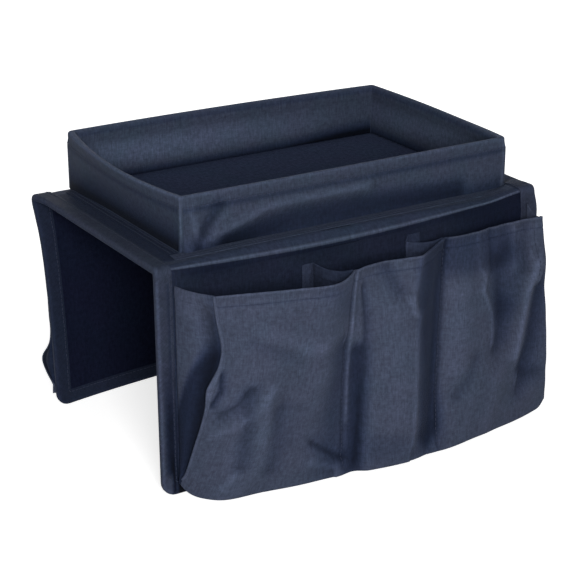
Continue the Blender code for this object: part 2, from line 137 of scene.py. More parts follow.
# A fold of the cloth: its line in shares (u, v) of the sheet, how far it reaches to its left and
# right in millimetres, its height in millimetres (below 0 for a hollow), how round its crest is,
# and its painted shade: how much darker the cloth is painted in it (below 0, a painted highlight)
Fold = namedtuple("Fold", "line left right height roundness shade", defaults=(0,))
FRONT_FOLDS = (
    # First pocket
    Fold(((0.013, 0.38), (0.024, 0.45), (0.012, 0.52)), 2.4, 3, -1.2, 1.5, 0.55),
    Fold(((0.04, 0.57), (0.065, 0.53), (0.085, 0.46)), 6, 5, -2.2, 1.4, 0.18),
    Fold(((0.04, 0.66), (0.10, 0.58), (0.13, 0.46)), 7, 6, 2.2, 1.6, -0.06),
    Fold(((0.08, 0.23), (0.13, 0.28), (0.19, 0.34)), 6, 6, -0.8, 2, 0.08),
    Fold(((0.10, 0.19), (0.16, 0.24), (0.24, 0.31)), 7, 7, 0.8, 2, -0.08),
    Fold(((0.20, 0.31), (0.335, 0.26)), 8, 8, 0.8, 2, -0.12),
    Fold(((0.24, 0.02), (0.33, 0.17)), 9, 12, 0, 2, 0.14),
    Fold(((0.085, 0.48), (0.095, 0.66), (0.105, 0.84)), 6, 6, -1.8, 2, 0.18),
    Fold(((0.125, 0.50), (0.130, 0.72)), 5, 5, 1.2, 1.8, -0.08),
    Fold(((0.10, 0.95), (0.26, 0.45)), 12, 12, 2.0, 2, -0.04),
    Fold(((0.160, 0.58), (0.165, 0.88)), 6, 7, -1.6, 2, 0.18),
    Fold(((0.205, 0.60), (0.19, 0.75)), 8, 9, -1.6, 2, 0.08),
    Fold(((0.25, 0.80), (0.31, 0.90), (0.335, 0.93)), 3.5, 5, -3.0, 1.1, 0.24),
    Fold(((0.255, 0.90), (0.31, 0.95)), 5, 5, 1.8, 1.6),
    Fold(((0.318, 0.38), (0.312, 0.60), (0.31, 0.92)), 14, 8, -3.0, 2, 0.28),
    Fold(((0.095, 0.87), (0.08, 0.94)), 4, 4, 1.3, 1.4),
    # Middle pocket
    Fold(((0.343, 0.02), (0.344, 0.40), (0.341, 0.75)), 1.6, 1.8, 1.6, 1.3, -0.16),
    Fold(((0.372, 0.12), (0.378, 0.34)), 8, 8, 0, 2, -0.10),
    Fold(((0.396, 0.10), (0.408, 0.24), (0.408, 0.46), (0.396, 0.70), (0.380, 0.95)), 5, 5, -2.2, 1.6, 0.28),
    Fold(((0.380, 0.42), (0.377, 0.65), (0.364, 0.97)), 10, 9, -4.5, 2.4, 0.54),
    Fold(((0.470, 0.02), (0.498, 0.14)), 8, 6, -1.6, 1.7, 0.22),
    Fold(((0.47, 0.25), (0.47, 0.74)), 18, 16, 3.2, 2, -0.04),
    Fold(((0.552, 0.00), (0.542, 0.10), (0.527, 0.18), (0.528, 0.24), (0.541, 0.28), (0.534, 0.36),
          (0.530, 0.60), (0.527, 0.90)), 13, 7, 4.6, 1.1, -0.10),
    Fold(((0.524, 0.19), (0.532, 0.26)), 3, 3, 1.4, 1.5, -0.08),
    Fold(((0.608, 0.02), (0.604, 0.30), (0.612, 0.90)), 17, 16, -6.0, 2.4, 0.20),
    Fold(((0.612, 0.02), (0.604, 0.20), (0.605, 0.66), (0.622, 0.84)), 21, 19.5, 0, 6, 0.52),
    Fold(((0.565, 0.30), (0.60, 0.48)), 8, 9, 0, 2, 0.12),
    Fold(((0.43, 0.90), (0.66, 0.94)), 13, 13, -1.0, 3, 0.16),
    # Right pocket
    Fold(((0.69, 0.07), (0.78, 0.08), (0.87, 0.09)), 18, 17, -1.6, 4, 0.40),
    Fold(((0.71, 0.27), (0.705, 0.60)), 12, 12, 3.2, 2, -0.06),
    Fold(((0.785, 0.00), (0.786, 0.18)), 4, 4, 0.9, 1.5, -0.06),
    Fold(((0.832, 0.00), (0.830, 0.20)), 4, 4, -1.2, 1.5, 0.12),
    Fold(((0.885, 0.20), (0.872, 0.36)), 20, 17, 0, 4, 0.27),
    Fold(((0.862, 0.40), (0.850, 0.53)), 12, 10, 0, 3, 0.28),
    Fold(((0.912, 0.02), (0.905, 0.22)), 5, 4, 1.3, 1.5, -0.10),
    Fold(((0.945, 0.03), (0.94, 0.24)), 5, 5, -1.4, 1.8, 0.14),
    Fold(((0.800, 0.20), (0.789, 0.28), (0.817, 0.40), (0.820, 0.56)), 5, 3.5, 2.8, 1.1, -0.10),
    Fold(((0.857, 0.20), (0.850, 0.37), (0.846, 0.50), (0.834, 0.58)), 10, 10, -5.0, 1.8, 0.12),
    Fold(((0.964, 0.22), (0.935, 0.36), (0.908, 0.53), (0.886, 0.65)), 6, 7, 4.8, 1.3, -0.24),
    Fold(((0.962, 0.26), (0.938, 0.42), (0.918, 0.56)), 4, 5, 0, 2, -0.12),
    Fold(((0.972, 0.36), (0.955, 0.50), (0.940, 0.62), (0.915, 0.74)), 7, 11, -4.4, 2, 0.50),
    Fold(((0.74, 0.30), (0.73, 0.90)), 22, 22, 0, 2, -0.06),
    Fold(((0.955, 0.79), (0.93, 0.80), (0.905, 0.84)), 8, 9, -2.6, 1.8, 0.24),
    Fold(((0.765, 0.60), (0.745, 0.70), (0.72, 0.76)), 7, 7, -1.8, 1.8, 0.16),
    Fold(((0.80, 0.95), (0.83, 0.72)), 8, 8, 2.0, 2),
)
REAR_FOLDS = (
    Fold(((0.12, 0.25), (0.16, 0.95)), 12, 12, 2.6, 2, -0.05),
    Fold(((0.26, 0.10), (0.24, 0.90)), 10, 9, -3.2, 1.8, 0.22),
    Fold(((0.44, 0.30), (0.47, 0.95)), 13, 13, 2.8, 2, -0.05),
    Fold(((0.57, 0.10), (0.55, 0.80)), 10, 10, -3.2, 1.8, 0.25),
    Fold(((0.72, 0.20), (0.70, 0.70)), 6, 7, 2.2, 1.3, -0.05),
    Fold(((0.80, 0.35), (0.77, 0.95)), 12, 12, 2.8, 2, -0.05),
    Fold(((0.05, 0.70), (0.13, 0.45)), 5, 6, -2.2, 1.3, 0.16),
    Fold(((0.38, 0.80), (0.33, 0.95)), 5, 5, -2.2, 1.3, 0.16),
    Fold(((0.90, 0.20), (0.86, 0.55)), 6, 6, -2.0, 1.4, 0.14),
    Fold(((0.90, 0.82), (0.97, 0.79), (1.00, 0.79)), 13, 14, 31.0, 2),
)

Flap = namedtuple("Flap", "name turn top_lean foot_lean twist_share slack_share hold_share reaches folds"
                          " foot_round foot_rise")
FRONT = Flap("front", 1, radians(-0.8), radians(-0.8), 0, 1, 0,
             (56 * MM, 46 * MM, 40 * MM), FRONT_FOLDS, 0.955, 5 * MM)
REAR = Flap("rear", -1, radians(13), radians(1), REAR_TWIST_SHARE, 0, 0.85,
            (20 * MM, 26 * MM, 28 * MM), REAR_FOLDS, 0.85, 10 * MM)


# Numbers and curves

def unit(vectors):
    return vectors / np.maximum(np.linalg.norm(vectors, axis=-1, keepdims=True), 1e-12)


def smooth_step(values):
    t = np.clip(values, 0, 1)
    return t * t * (3 - 2 * t)


def rise(values, start, length):
    """From 0 to 1 as the values go on from the start by that length."""
    return smooth_step((values - start) / length)


def bump(values, middle, half_width):
    return np.exp(-((values - middle) / half_width) ** 2)


def ripple(a, b, length, seed):
    """A smooth wandering number between about -1 and 1 that changes over length, in a and b."""
    total = 0
    for n in range(1, 6):
        turn = seed * 1.7 + n * 2.4
        wave = 2 * pi / (length * (0.6 + 0.37 * n))
        total = total + np.sin(wave * (a * cos(turn) + b * sin(turn)) + seed * n * 1.3) / 3
    return total


def levels(*stretches):
    """Rising places: each stretch is a start, an end and the widest step between."""
    places = []
    for start, end, step in stretches:
        count = max(1, int(round((end - start) / step)))
        places.extend(start + (end - start) * n / count for n in range(count))
    places.append(stretches[-1][1])
    return np.array(places)


def gaps(points, axis=0):
    """Distances from each point to the next."""
    return np.linalg.norm(np.diff(points, axis=axis), axis=-1)


def run_along(points):
    """How far along their line the points are."""
    return np.concatenate([[0], np.cumsum(gaps(points))])


def mean_length(rows, axis):
    return float(gaps(rows, axis).sum(axis).mean())


# The flaps and the fold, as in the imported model

def flap_start(flap):
    """Outwards and height of the middle of the flap where its fold ends."""
    out = TURN_OUT + TIGHT_FOLD_RADIUS * cos(flap.top_lean)
    height = TURN_HEIGHT - TIGHT_FOLD_RADIUS * sin(flap.top_lean)
    return out, height


def flap_run(flap):
    """The flap's length from its fold to the floor, along its lean."""
    bend = flap.top_lean - flap.foot_lean
    mean = (flap.top_lean + flap.foot_lean) / 2
    return (flap_start(flap)[1] - FLOOR_HEIGHT) / (np.sinc(bend / 2 / pi) * cos(mean))


def in_frame(flap, x, out, height):
    """Turns the rear flap's places round, because both flaps are worked out as the front one."""
    return np.stack(np.broadcast_arrays(flap.turn * x, -flap.turn * out, height), axis=-1)


def flap_parts(flap, x, down, n):
    """Outwards and height of a place in the flap: down its middle line, and n off that line."""
    out, height = flap_start(flap)
    lean = flap.top_lean + (flap.foot_lean - flap.top_lean) * down / flap_run(flap)
    mean = (flap.top_lean + lean) / 2
    chord = down * np.sinc((flap.top_lean - lean) / 2 / pi)
    along = np.maximum(0, (1 + x / HALF_LENGTH) / 2)
    taken = 1 - flap.twist_share * (1 - along ** TWIST_POWER)
    out = out + n * np.cos(lean) - chord * np.sin(mean) * taken
    height = height - n * np.sin(lean) - chord * np.cos(mean)
    return out, height


def flap_point(flap, x, down, n):
    x, down, n = np.broadcast_arrays(x, down, n)
    return in_frame(flap, x, *flap_parts(flap, x, down, n))


def fold_slack(x):
    """How loosely the cloth rolls over the front fold, 0 to 1: tight under the tapes and at the right."""
    loose = np.maximum(0, 1 - ((x + 25 * MM) / (135 * MM)) ** 2)
    return loose * (1 - np.minimum(1, np.abs(x) / BOUND_EDGE) ** 24)


def lifted(x, s):
    """How far the top's front right corner stands up, beside the tray and over the fold."""
    beside = 146 * MM - 34 * MM * rise(s, 76 * MM, 8 * MM)
    across = rise(x, beside, HALF_LENGTH - beside)
    along = rise(s, 10 * MM, 45 * MM) - rise(s, 86 * MM, 31 * MM)
    return CORNER_LIFT * across * along


def pushed(flap, x, s):
    """How far a panel's end bulges out beyond its line, below the fold."""
    end = rise(x, 140 * MM, 20 * MM)
    if flap.turn < 0:
        reach = np.where(s < 92 * MM, 9 * MM, 26 * MM)
        return 2.8 * MM * end * bump(s, 92 * MM, reach)
    return 6.2 * MM * end * rise(s, 83 * MM, 27 * MM) * (1 - rise(s, 122 * MM, 40 * MM))


def foot_of(flap):
    """Flat distance from the top's middle line, over the fold, to the flap's foot."""
    return FOLD_END - FLAP_START_DROP + flap_run(flap)


def panel_place(flap, x, s, n):
    """A place in a panel: x along it, s out from the top's middle line over the fold and down the
    flap, and n off the middle of its thickness."""
    x, s, n = np.broadcast_arrays(x, s, n)
    middle_out = HALF_DEPTH - PANEL_HALF
    end_out, end_height = flap_parts(flap, x, FLAP_START_DROP, 0)
    room = min(middle_out - TOP_EDGE, PANEL_HALF - float(flap_parts(flap, 0.0, FLAP_START_DROP, 0)[1]))
    slack = flap.slack_share * fold_slack(x)
    radius = TIGHT_FOLD_RADIUS + (room - TIGHT_FOLD_RADIUS) * slack
    t = np.clip((s - TOP_EDGE) / FOLD_STEP, 0, 3)
    angle = (pi / 2 + flap.top_lean) * np.clip(t - 1, 0, 1)
    out = middle_out - radius + radius * np.sin(angle)
    height = PANEL_HALF - radius + radius * np.cos(angle)
    out = np.where(t < 1, TOP_EDGE + (out - TOP_EDGE) * t, out)
    last = np.clip(t - 2, 0, 1)
    if flap.turn > 0:
        n = n + 0.5 * np.maximum(n, 0) * rise(x, 140 * MM, 12 * MM) * np.sin(2 * angle) ** 2
    out = out + (end_out - out) * last + n * np.sin(angle)
    height = height + (end_height - height) * last + n * np.cos(angle)
    out = np.where(s < TOP_EDGE, s, out)
    height = np.where(s < TOP_EDGE, PANEL_HALF + n, height)
    down = s - FOLD_END + FLAP_START_DROP
    flap_out, flap_height = flap_parts(flap, x, down, n)
    out = np.where(s > FOLD_END, flap_out, out)
    height = np.where(s > FOLD_END, flap_height, height)
    if flap.turn > 0:
        height = height + lifted(x, s)
    return in_frame(flap, x + pushed(flap, x, s), out, height)


def on_rail(shares, reach, u):
    """Along the flap and off it, at shares u of a smooth curve through a rail's points."""
    points = np.array(shares)
    last = len(points) - 1
    start = np.minimum((u * last).astype(int), last - 1)
    t = (u * last - start)[:, None]
    p, q, r, s = (points[np.clip(start + step, 0, last)] for step in (-1, 0, 1, 2))
    curve = q + t / 2 * (r - p + t * (2 * p - 5 * q + 4 * r - s + t * (3 * (q - r) + s - p)))
    return HALF_LENGTH * curve[:, 0], reach * curve[:, 1]


def fold_reach(fold, a, b, step_a, step_b):
    """How much of a fold, from 0 to 1, is felt at (a, b). Its line is in shares of the steps."""
    nearest, side = np.full(np.broadcast(a, b).shape, 1e9), 0
    for (u0, v0), (u1, v1) in zip(fold.line, fold.line[1:]):
        a0, b0 = u0 * step_a, v0 * step_b
        da, db = u1 * step_a - a0, v1 * step_b - b0
        along = np.clip(((a - a0) * da + (b - b0) * db) / (da * da + db * db), 0, 1)
        off_a, off_b = a - a0 - along * da, b - b0 - along * db
        off = np.hypot(off_a, off_b)
        side = np.where(off < nearest, off_a * db - off_b * da, side)
        nearest = np.minimum(nearest, off)
    width = np.where(side > 0, fold.right, fold.left) * MM
    return np.exp(-(nearest / width) ** fold.roundness)


def folds_at(folds, a, b, step_a, step_b):
    """Relief in metres and shade of all the folds together."""
    relief, shade = 0, 0
    for fold in folds:
        reach = fold_reach(fold, a, b, step_a, step_b)
        relief = relief + fold.height * MM * reach
        shade = shade + fold.shade * reach
    return relief, shade


def sheet_shade(flap, u, v):
    """Painted shade in the pocket sheet's folds, seam creases and hem, and a painted highlight along its
    mouth.
    """
    shade = folds_at(flap.folds, u * SHEET_LENGTH, v * SHEET_DROP, SHEET_LENGTH, SHEET_DROP)[1]
    for share in SEAM_SHARES:
        shade = shade + 0.22 * np.exp(-np.abs(u - share) / 0.004)
    shade = shade + 0.16 * bump(v, HEM_SHARE, 0.9 * MM / SHEET_DROP)
    shade = np.clip(shade, -0.3, 0.72)
    return shade - 0.35 * bump(v, 0, 0.8 * MM / SHEET_DROP)


def sheet_place(flap, u, v):
    """Along the flap, down it and off its cover, for arrays of shares u across and v down."""
    rails = [on_rail(shares, reach, u.ravel()) for shares, reach
             in zip((MOUTH_SHARES, WAIST_SHARES, FOOT_SHARES), flap.reaches)]
    (x0, k0), (x1, k1), (x2, k2) = ((x.reshape(u.shape), k.reshape(u.shape)) for x, k in rails)
    w = WAIST_SHARE
    first = (v - w) * (v - 1) / w
    second = v * (v - 1) / (w * (w - 1))
    third = v * (v - w) / (1 - w)
    x = x0 * first + x1 * second + x2 * third
    if flap.turn > 0:
        x = x + 6.5 * MM * bump(v, 0.27, 0.15) * np.maximum(0, 1 - u / 0.14) ** 2
        x = x - 7.0 * MM * rise(v, 0.36, 0.5) * np.maximum(0, 1 - u / 0.12) ** 2
    off = k0 * first + k1 * second + k2 * third
    off = off * (1 - flap.hold_share * np.maximum(0, 4 * u - 3) ** 2)
    size = sqrt(flap.reaches[0] / FRONT.reaches[0])
    off = off + size * folds_at(flap.folds, u * SHEET_LENGTH, v * SHEET_DROP, SHEET_LENGTH, SHEET_DROP)[0]
    crease = SEAM_CREASE_DEPTH * size * (1 - 0.9 * rise(v, 0.8, 0.2))
    for share in SEAM_SHARES:
        off = off - crease * np.exp(-np.abs((u - share) / CREASE_WIDTH_SHARE))
    off = off + 0.3 * MM * ripple(u * SHEET_LENGTH, v * SHEET_DROP, 22 * MM, flap.turn + 4)
    depth = flap_run(flap) - FOOT_CLEARANCE - MOUTH_DROP
    right_foot = rise(u, flap.foot_round, 1 - flap.foot_round) * rise(v, 0.8, 0.2)
    if flap.turn < 0:
        off = off * (1 - rise(u, 0.8, 0.2) * rise(v, 0.86, 0.10))
    down = MOUTH_DROP + v * depth - flap.foot_rise * right_foot ** 2
    if flap.turn > 0:
        left_foot = np.maximum(0, 1 - u / 0.055) ** 1.3 * rise(v, 0.8, 0.2)
        down = down - 8 * MM * left_foot ** 2
    return x, down, np.maximum(off, ON_BINDING)


# Meshes

EDGE_ROUND_SHARE = 0.35
RIDGE_REACH = 4 * MM
RIDGE_FULL = 0.5 * MM


def facing(rows, closed, turn):
    """The cloth's normals, out from the side that shows."""
    down = np.gradient(rows, axis=0)
    across = np.roll(rows, -1, 1) - np.roll(rows, 1, 1) if closed else np.gradient(rows, axis=1)
    return turn * unit(np.cross(down, across))


def ridge_of(rows, normals, closed):
    """Where the cloth stands out from what is round it (up to 1) or lies in a hollow (to -1)."""
    steps = []
    for axis in (0, 1):
        step = max(gaps(rows, axis).mean(), 1e-5)
        steps.append(max(1, min(rows.shape[axis] // 2, int(round(RIDGE_REACH / step)))))
    i, j = steps
    padded = np.pad(rows, ((i, i), (0, 0), (0, 0)), mode="reflect", reflect_type="odd")
    padded = np.pad(padded, ((0, 0), (j, j), (0, 0)), mode="wrap" if closed else "edge")
    height, width = rows.shape[:2]
    round_it = (padded[:height, j:j + width] + padded[2 * i:, j:j + width]
                + padded[i:i + height, :width] + padded[i:i + height, 2 * j:]) / 4
    return np.clip(((rows - round_it) * normals).sum(-1) / RIDGE_FULL, -1, 1)


def in_scene(name, data):
    thing = bpy.data.objects.new(name, data)
    bpy.context.scene.collection.objects.link(thing)
    return thing


def make_mesh(name, points, faces, material, uv=None, marks=None):
    """A smooth mesh in the scene, with its place on the flat cloth and its marks at each point."""
    mesh = bpy.data.meshes.new(name)
    mesh.from_pydata(points.tolist(), [], faces)
    if uv is not None:
        corner = np.zeros(len(mesh.loops), int)
        mesh.loops.foreach_get("vertex_index", corner)
        layer = mesh.uv_layers.new(name="cloth_metres")
        layer.data.foreach_set("uv", uv[corner].astype(np.float32).ravel())
    for label, values in (marks or {}).items():
        attribute = mesh.attributes.new(label, "FLOAT", "POINT")
        attribute.data.foreach_set("value", values.astype(np.float32))
    mesh.materials.append(material)
    mesh.shade_smooth()
    mesh.validate()
    return in_scene(name, mesh)


def quads(height, width, closed, base=0):
    """The faces of a grid of points, which may close on itself across."""
    i = np.arange(height - 1)[:, None]
    j = np.arange(width if closed else width - 1)[None, :]
    ahead = (j + 1) % width
    a = i * width + j
    b = i * width + ahead
    return (base + np.stack([a, b, b + width, a + width], -1)).reshape(-1, 4)


def cloth_piece(name, rows, material, thick=CLOTH, closed=False, turn=1, grain=0.0, shade=0.0):
    """A closed sheet of cloth whose middle surface passes through rows of points."""
    height, width = rows.shape[:2]
    normals = facing(rows, closed, turn)
    thick = np.broadcast_to(thick, (height, width))[..., None]
    shade = np.broadcast_to(shade, (height, width))
    ridge = ridge_of(rows, normals, closed)
    across = gaps(rows, 1).mean(0)
    down = gaps(rows).mean(1)
    u = np.concatenate([[0], np.cumsum(across)])
    v = np.concatenate([[0], np.cumsum(down)])
    uv = np.stack(np.meshgrid(u, v), -1)
    uv = uv @ np.array([[cos(grain), sin(grain)], [-sin(grain), cos(grain)]])

    if closed:
        rims = [[(0, j) for j in range(width)], [(height - 1, j) for j in range(width)][::-1]]
    else:
        rim = [(0, j) for j in range(width)]
        rim += [(i, width - 1) for i in range(1, height)]
        rim += [(height - 1, j) for j in range(width - 2, -1, -1)]
        rim += [(i, 0) for i in range(height - 2, 0, -1)]
        rims = [rim]

    points = [(rows + normals * thick / 2).reshape(-1, 3), (rows - normals * thick / 2).reshape(-1, 3)]
    flat_uv = [uv.reshape(-1, 2), uv.reshape(-1, 2)]
    flat_ridge = [ridge.ravel(), -ridge.ravel()]
    flat_shade = [shade.ravel(), shade.ravel()]
    back = height * width
    faces = [quads(height, width, closed), quads(height, width, closed, back)[:, ::-1]]
    if turn > 0:
        faces = [face[:, ::-1] for face in faces]
    base = 2 * back
    for rim in rims:
        i, j = np.array(rim).T
        inside = rows[np.clip(i, 1, height - 2), j if closed else np.clip(j, 1, width - 2)]
        outward = unit(rows[i, j] - inside)
        points.append(rows[i, j] + outward * thick[i, j] * EDGE_ROUND_SHARE)
        flat_uv.append(uv[i, j])
        # Every rim counts as a ridge, so cloth edges come out lighter: partly wear, partly painted highlight
        flat_ridge.append(np.ones(len(rim)))
        flat_shade.append(shade[i, j])
        front = i * width + j
        ring = base + np.arange(len(rim))
        ahead, ring_ahead = np.roll(front, -1), np.roll(ring, -1)
        side = [np.stack([front, ahead, ring_ahead, ring], -1),
                np.stack([ring, ring_ahead, ahead + back, front + back], -1)]
        faces.extend(face if turn > 0 else face[:, ::-1] for face in side)
        base += len(rim)
    faces = np.concatenate(faces).tolist()
    # ridge lightens ridges and darkens hollows in the finish; shade is painted shade (below 0, a painted
    # highlight)
    marks = {"ridge": np.concatenate(flat_ridge), "shade": np.concatenate(flat_shade)}
    return make_mesh(name, np.concatenate(points), faces, material, np.concatenate(flat_uv), marks)


STITCH_PITCH = 3.4 * MM
STITCH_LENGTH = 2.7 * MM
THREAD_RADIUS = 0.32 * MM
STITCH_STATIONS = (-0.5, -0.42, -0.2, 0.2, 0.42, 0.5)
STITCH_SWELL = (0.35, 0.8, 1.0, 1.0, 0.8, 0.35)
STITCH_RISE = (-0.9, -0.1, 0.55, 0.55, -0.1, -0.9)
THREAD_SIDES = 6
STITCH_WANDER = ((0.12 * MM, 2100, 0), (0.1 * MM, 930, 1))


def sampled(line, values, places):
    return np.stack([np.interp(places, line, values[:, axis]) for axis in range(3)], -1)


def stitch_run(points, normals, pitch=STITCH_PITCH, size=1.0, start=0.5):
    """Corner points and faces of a row of stitches on a line of places with their normals."""
    line = run_along(points)
    middles = np.arange(start * pitch, line[-1] - pitch / 2, pitch)
    wander = sum(much * np.sin(middles * often + late) for much, often, late in STITCH_WANDER)
    places = middles[:, None] + np.array(STITCH_STATIONS)[None, :] * STITCH_LENGTH
    centre = sampled(line, points, places.ravel()).reshape(*places.shape, 3)
    up = unit(sampled(line, normals, places.ravel()).reshape(*places.shape, 3))
    ahead = unit(np.gradient(centre, axis=1))
    side = unit(np.cross(ahead, up))
    radius = THREAD_RADIUS * size * np.array(STITCH_SWELL)[None, :, None]
    rise_up = THREAD_RADIUS * size * np.array(STITCH_RISE)[None, :, None]
    centre = centre + up * rise_up + side * wander[:, None, None]
    turns = (2 * pi * np.arange(THREAD_SIDES) / THREAD_SIDES)[None, None, :, None]
    round_it = side[:, :, None] * np.cos(turns) + up[:, :, None] * np.sin(turns)
    corners = (centre[:, :, None] + radius[..., None] * round_it).reshape(-1, 3)

    count, stations = places.shape
    base = np.arange(count)[:, None, None] * stations * THREAD_SIDES
    near = base + np.arange(stations - 1)[None, :, None] * THREAD_SIDES
    k = np.arange(THREAD_SIDES)[None, None, :]
    k_next = (k + 1) % THREAD_SIDES
    far = near + THREAD_SIDES
    tubes = np.stack(np.broadcast_arrays(near + k, near + k_next, far + k_next, far + k), -1)
    low = base[:, 0] + np.arange(THREAD_SIDES)[::-1]
    high = base[:, 0] + (stations - 1) * THREAD_SIDES + np.arange(THREAD_SIDES)
    return corners, tubes.reshape(-1, 4).tolist() + low.tolist() + high.tolist()


def stitches(name, runs, material):
    """One object of several rows of stitches."""
    points, faces, base = [], [], 0
    for corners, run_faces in runs:
        points.append(corners)
        faces.extend([n + base for n in face] for face in run_faces)
        base += len(corners)
    return make_mesh(name, np.concatenate(points), faces, material)


# Finishes

THREAD_DRIFT = 9 * MM
THREAD_SHAKE = 1.2 * MM
SLUB_WIDTH = 0.8 * MM
SLUB_LENGTH = 11 * MM
WARP_SHARE = 0.65
PATCH_SIZE = (28 * MM, 34 * MM)
FLECK_SIZE = (2.6 * MM, 3.4 * MM)
# Painted shade is tinted bluer than the cloth's colour
SHADE_TINT = (0.62, 0.84, 1.30, 1)
SHEEN_TINT = (0.45, 0.55, 0.8, 1)


def new_group(name, inputs, outputs):
    group = bpy.data.node_groups.new(name, "ShaderNodeTree")
    for label, kind, value in inputs:
        socket = group.interface.new_socket(label, in_out="INPUT", socket_type=kind)
        if value is not None:
            socket.default_value = value
    for label, kind in outputs:
        group.interface.new_socket(label, in_out="OUTPUT", socket_type=kind)
    start = group.nodes.new("NodeGroupInput")
    end = group.nodes.new("NodeGroupOutput")
    return group, start.outputs, end.inputs


def joined(tree, socket, value):
    """Links a node's output to the socket, or sets the socket to a plain value."""
    if isinstance(value, bpy.types.NodeSocket):
        tree.links.new(value, socket)
    elif value is not None:
        socket.default_value = value


def sum_of(tree, operation, a, b=None, c=None):
    node = tree.nodes.new("ShaderNodeMath")
    node.operation = operation
    for socket, value in zip(node.inputs, (a, b, c)):
        joined(tree, socket, value)
    return node.outputs[0]


def mixed(tree, factor, a, b, blend="MIX"):
    node = tree.nodes.new("ShaderNodeMix")
    node.data_type = "RGBA"
    node.blend_type = blend
    joined(tree, node.inputs["Factor"], factor)
    joined(tree, node.inputs["A"], a)
    joined(tree, node.inputs["B"], b)
    return node.outputs["Result"]


def noise(tree, vector, scale, detail=3.0, rough=0.55):
    node = tree.nodes.new("ShaderNodeTexNoise")
    node.inputs["Scale"].default_value = scale
    node.inputs["Detail"].default_value = detail
    node.inputs["Roughness"].default_value = rough
    joined(tree, node.inputs["Vector"], vector)
    return node.outputs["Fac"]


def spread(tree, value, low, high, to_low, to_high):
    node = tree.nodes.new("ShaderNodeMapRange")
    joined(tree, node.inputs["Value"], value)
    for label, number in (("From Min", low), ("From Max", high), ("To Min", to_low), ("To Max", to_high)):
        node.inputs[label].default_value = number
    return node.outputs["Result"]


def grey(tree, value):
    node = tree.nodes.new("ShaderNodeCombineColor")
    for socket in node.inputs:
        joined(tree, socket, value)
    return node.outputs["Color"]


def woven_threads():
    """Plain weave of two threads, with slubs along both and a tint in patches, painted shade between the
    threads' crowns, lighter ridges and darker hollows (partly wear, partly painted light and shade),
    and the mesh's painted shade.
    """
    group, given, result = new_group(
        "woven_threads",
        (("Cloth", "NodeSocketColor", (0.05, 0.06, 0.1, 1)),
         ("Tint", "NodeSocketColor", (0.04, 0.07, 0.09, 1)),
         ("Pitch", "NodeSocketFloat", 0.5 * MM),
         ("Streaks", "NodeSocketFloat", 0.3),
         ("Wear", "NodeSocketFloat", 0.3)),
        (("Colour", "NodeSocketColor"), ("Roughness", "NodeSocketFloat"), ("Height", "NodeSocketFloat")))
    place = group.nodes.new("ShaderNodeUVMap")
    place.uv_map = "cloth_metres"
    parts = group.nodes.new("ShaderNodeSeparateXYZ")
    group.links.new(place.outputs["UV"], parts.inputs["Vector"])
    u, v = parts.outputs["X"], parts.outputs["Y"]

    def times(a, b):
        return sum_of(group, "MULTIPLY", a, b)

    def marked(label):
        """The value of that name that cloth_piece gave each point of the mesh."""
        node = group.nodes.new("ShaderNodeAttribute")
        node.attribute_name = label
        return node.outputs["Fac"]

    def stretched(across, along):
        node = group.nodes.new("ShaderNodeCombineXYZ")
        joined(group, node.inputs["X"], sum_of(group, "DIVIDE", u, across))
        joined(group, node.inputs["Y"], sum_of(group, "DIVIDE", v, along))
        return node.outputs["Vector"]

    drift = noise(group, stretched(THREAD_DRIFT, THREAD_DRIFT), 1.0, 2.0)
    shake = times(sum_of(group, "SUBTRACT", drift, 0.5), THREAD_SHAKE)
    waves = []
    for along in (u, v):
        turns = times(sum_of(group, "ADD", along, shake), pi)
        waves.append(sum_of(group, "SINE", sum_of(group, "DIVIDE", turns, given["Pitch"])))
    crossing = times(*waves)
    dome = sum_of(group, "SQRT", sum_of(group, "ABSOLUTE", crossing))
    warp_up = spread(group, crossing, -0.15, 0.15, 0.0, 1.0)

    warp_slub = noise(group, stretched(SLUB_WIDTH, SLUB_LENGTH), 1.0, 3.0)
    weft_slub = noise(group, stretched(SLUB_LENGTH, SLUB_WIDTH), 1.0, 3.0)
    slub = sum_of(group, "ADD", times(warp_slub, WARP_SHARE), times(weft_slub, 1 - WARP_SHARE))
    patch = noise(group, stretched(*PATCH_SIZE), 1.0, 3.0)
    fleck = noise(group, stretched(*FLECK_SIZE), 1.0, 4.0, 0.7)

    tinted = mixed(group, spread(group, patch, 0.40, 0.68, 0.0, 0.5), given["Cloth"], given["Tint"])
    level = times(sum_of(group, "SUBTRACT", slub, 0.5), given["Streaks"])
    level = sum_of(group, "MULTIPLY_ADD", level, 3.0, 1.0)
    # Painted shade between the crowns of the threads
    level = times(level, spread(group, dome, 0.0, 1.0, 0.62, 1.1))
    level = times(level, spread(group, warp_up, 0.0, 1.0, 0.93, 1.07))
    level = times(level, spread(group, fleck, 0.3, 0.7, 0.74, 1.26))
    # Lighter ridges and darker hollows: partly wear, partly painted highlight and painted shade
    level = times(level, sum_of(group, "MULTIPLY_ADD", marked("ridge"), given["Wear"], 1.0))
    # The mesh's painted shade darkens and blues the cloth; below 0 it is a painted highlight
    shade = marked("shade")
    level = times(level, sum_of(group, "SUBTRACT", 1.0, shade))
    tinted = mixed(group, 1.0, tinted, mixed(group, shade, (1, 1, 1, 1), SHADE_TINT), "MULTIPLY")
    joined(group, result["Colour"], mixed(group, 1.0, tinted, grey(group, level), "MULTIPLY"))
    joined(group, result["Roughness"], spread(group, slub, 0.3, 0.7, 0.62, 0.84))
    joined(group, result["Height"], sum_of(group, "MULTIPLY_ADD", slub, 0.5, dome))
    return group


def principled(name, colour=None):
    material = bpy.data.materials.new(name)
    material.use_nodes = True
    if colour:
        material.diffuse_color = (*colour, 1)
    return material, material.node_tree, material.node_tree.nodes["Principled BSDF"].inputs


def set_values(sockets, values):
    for label, value in values.items():
        sockets[label].default_value = value


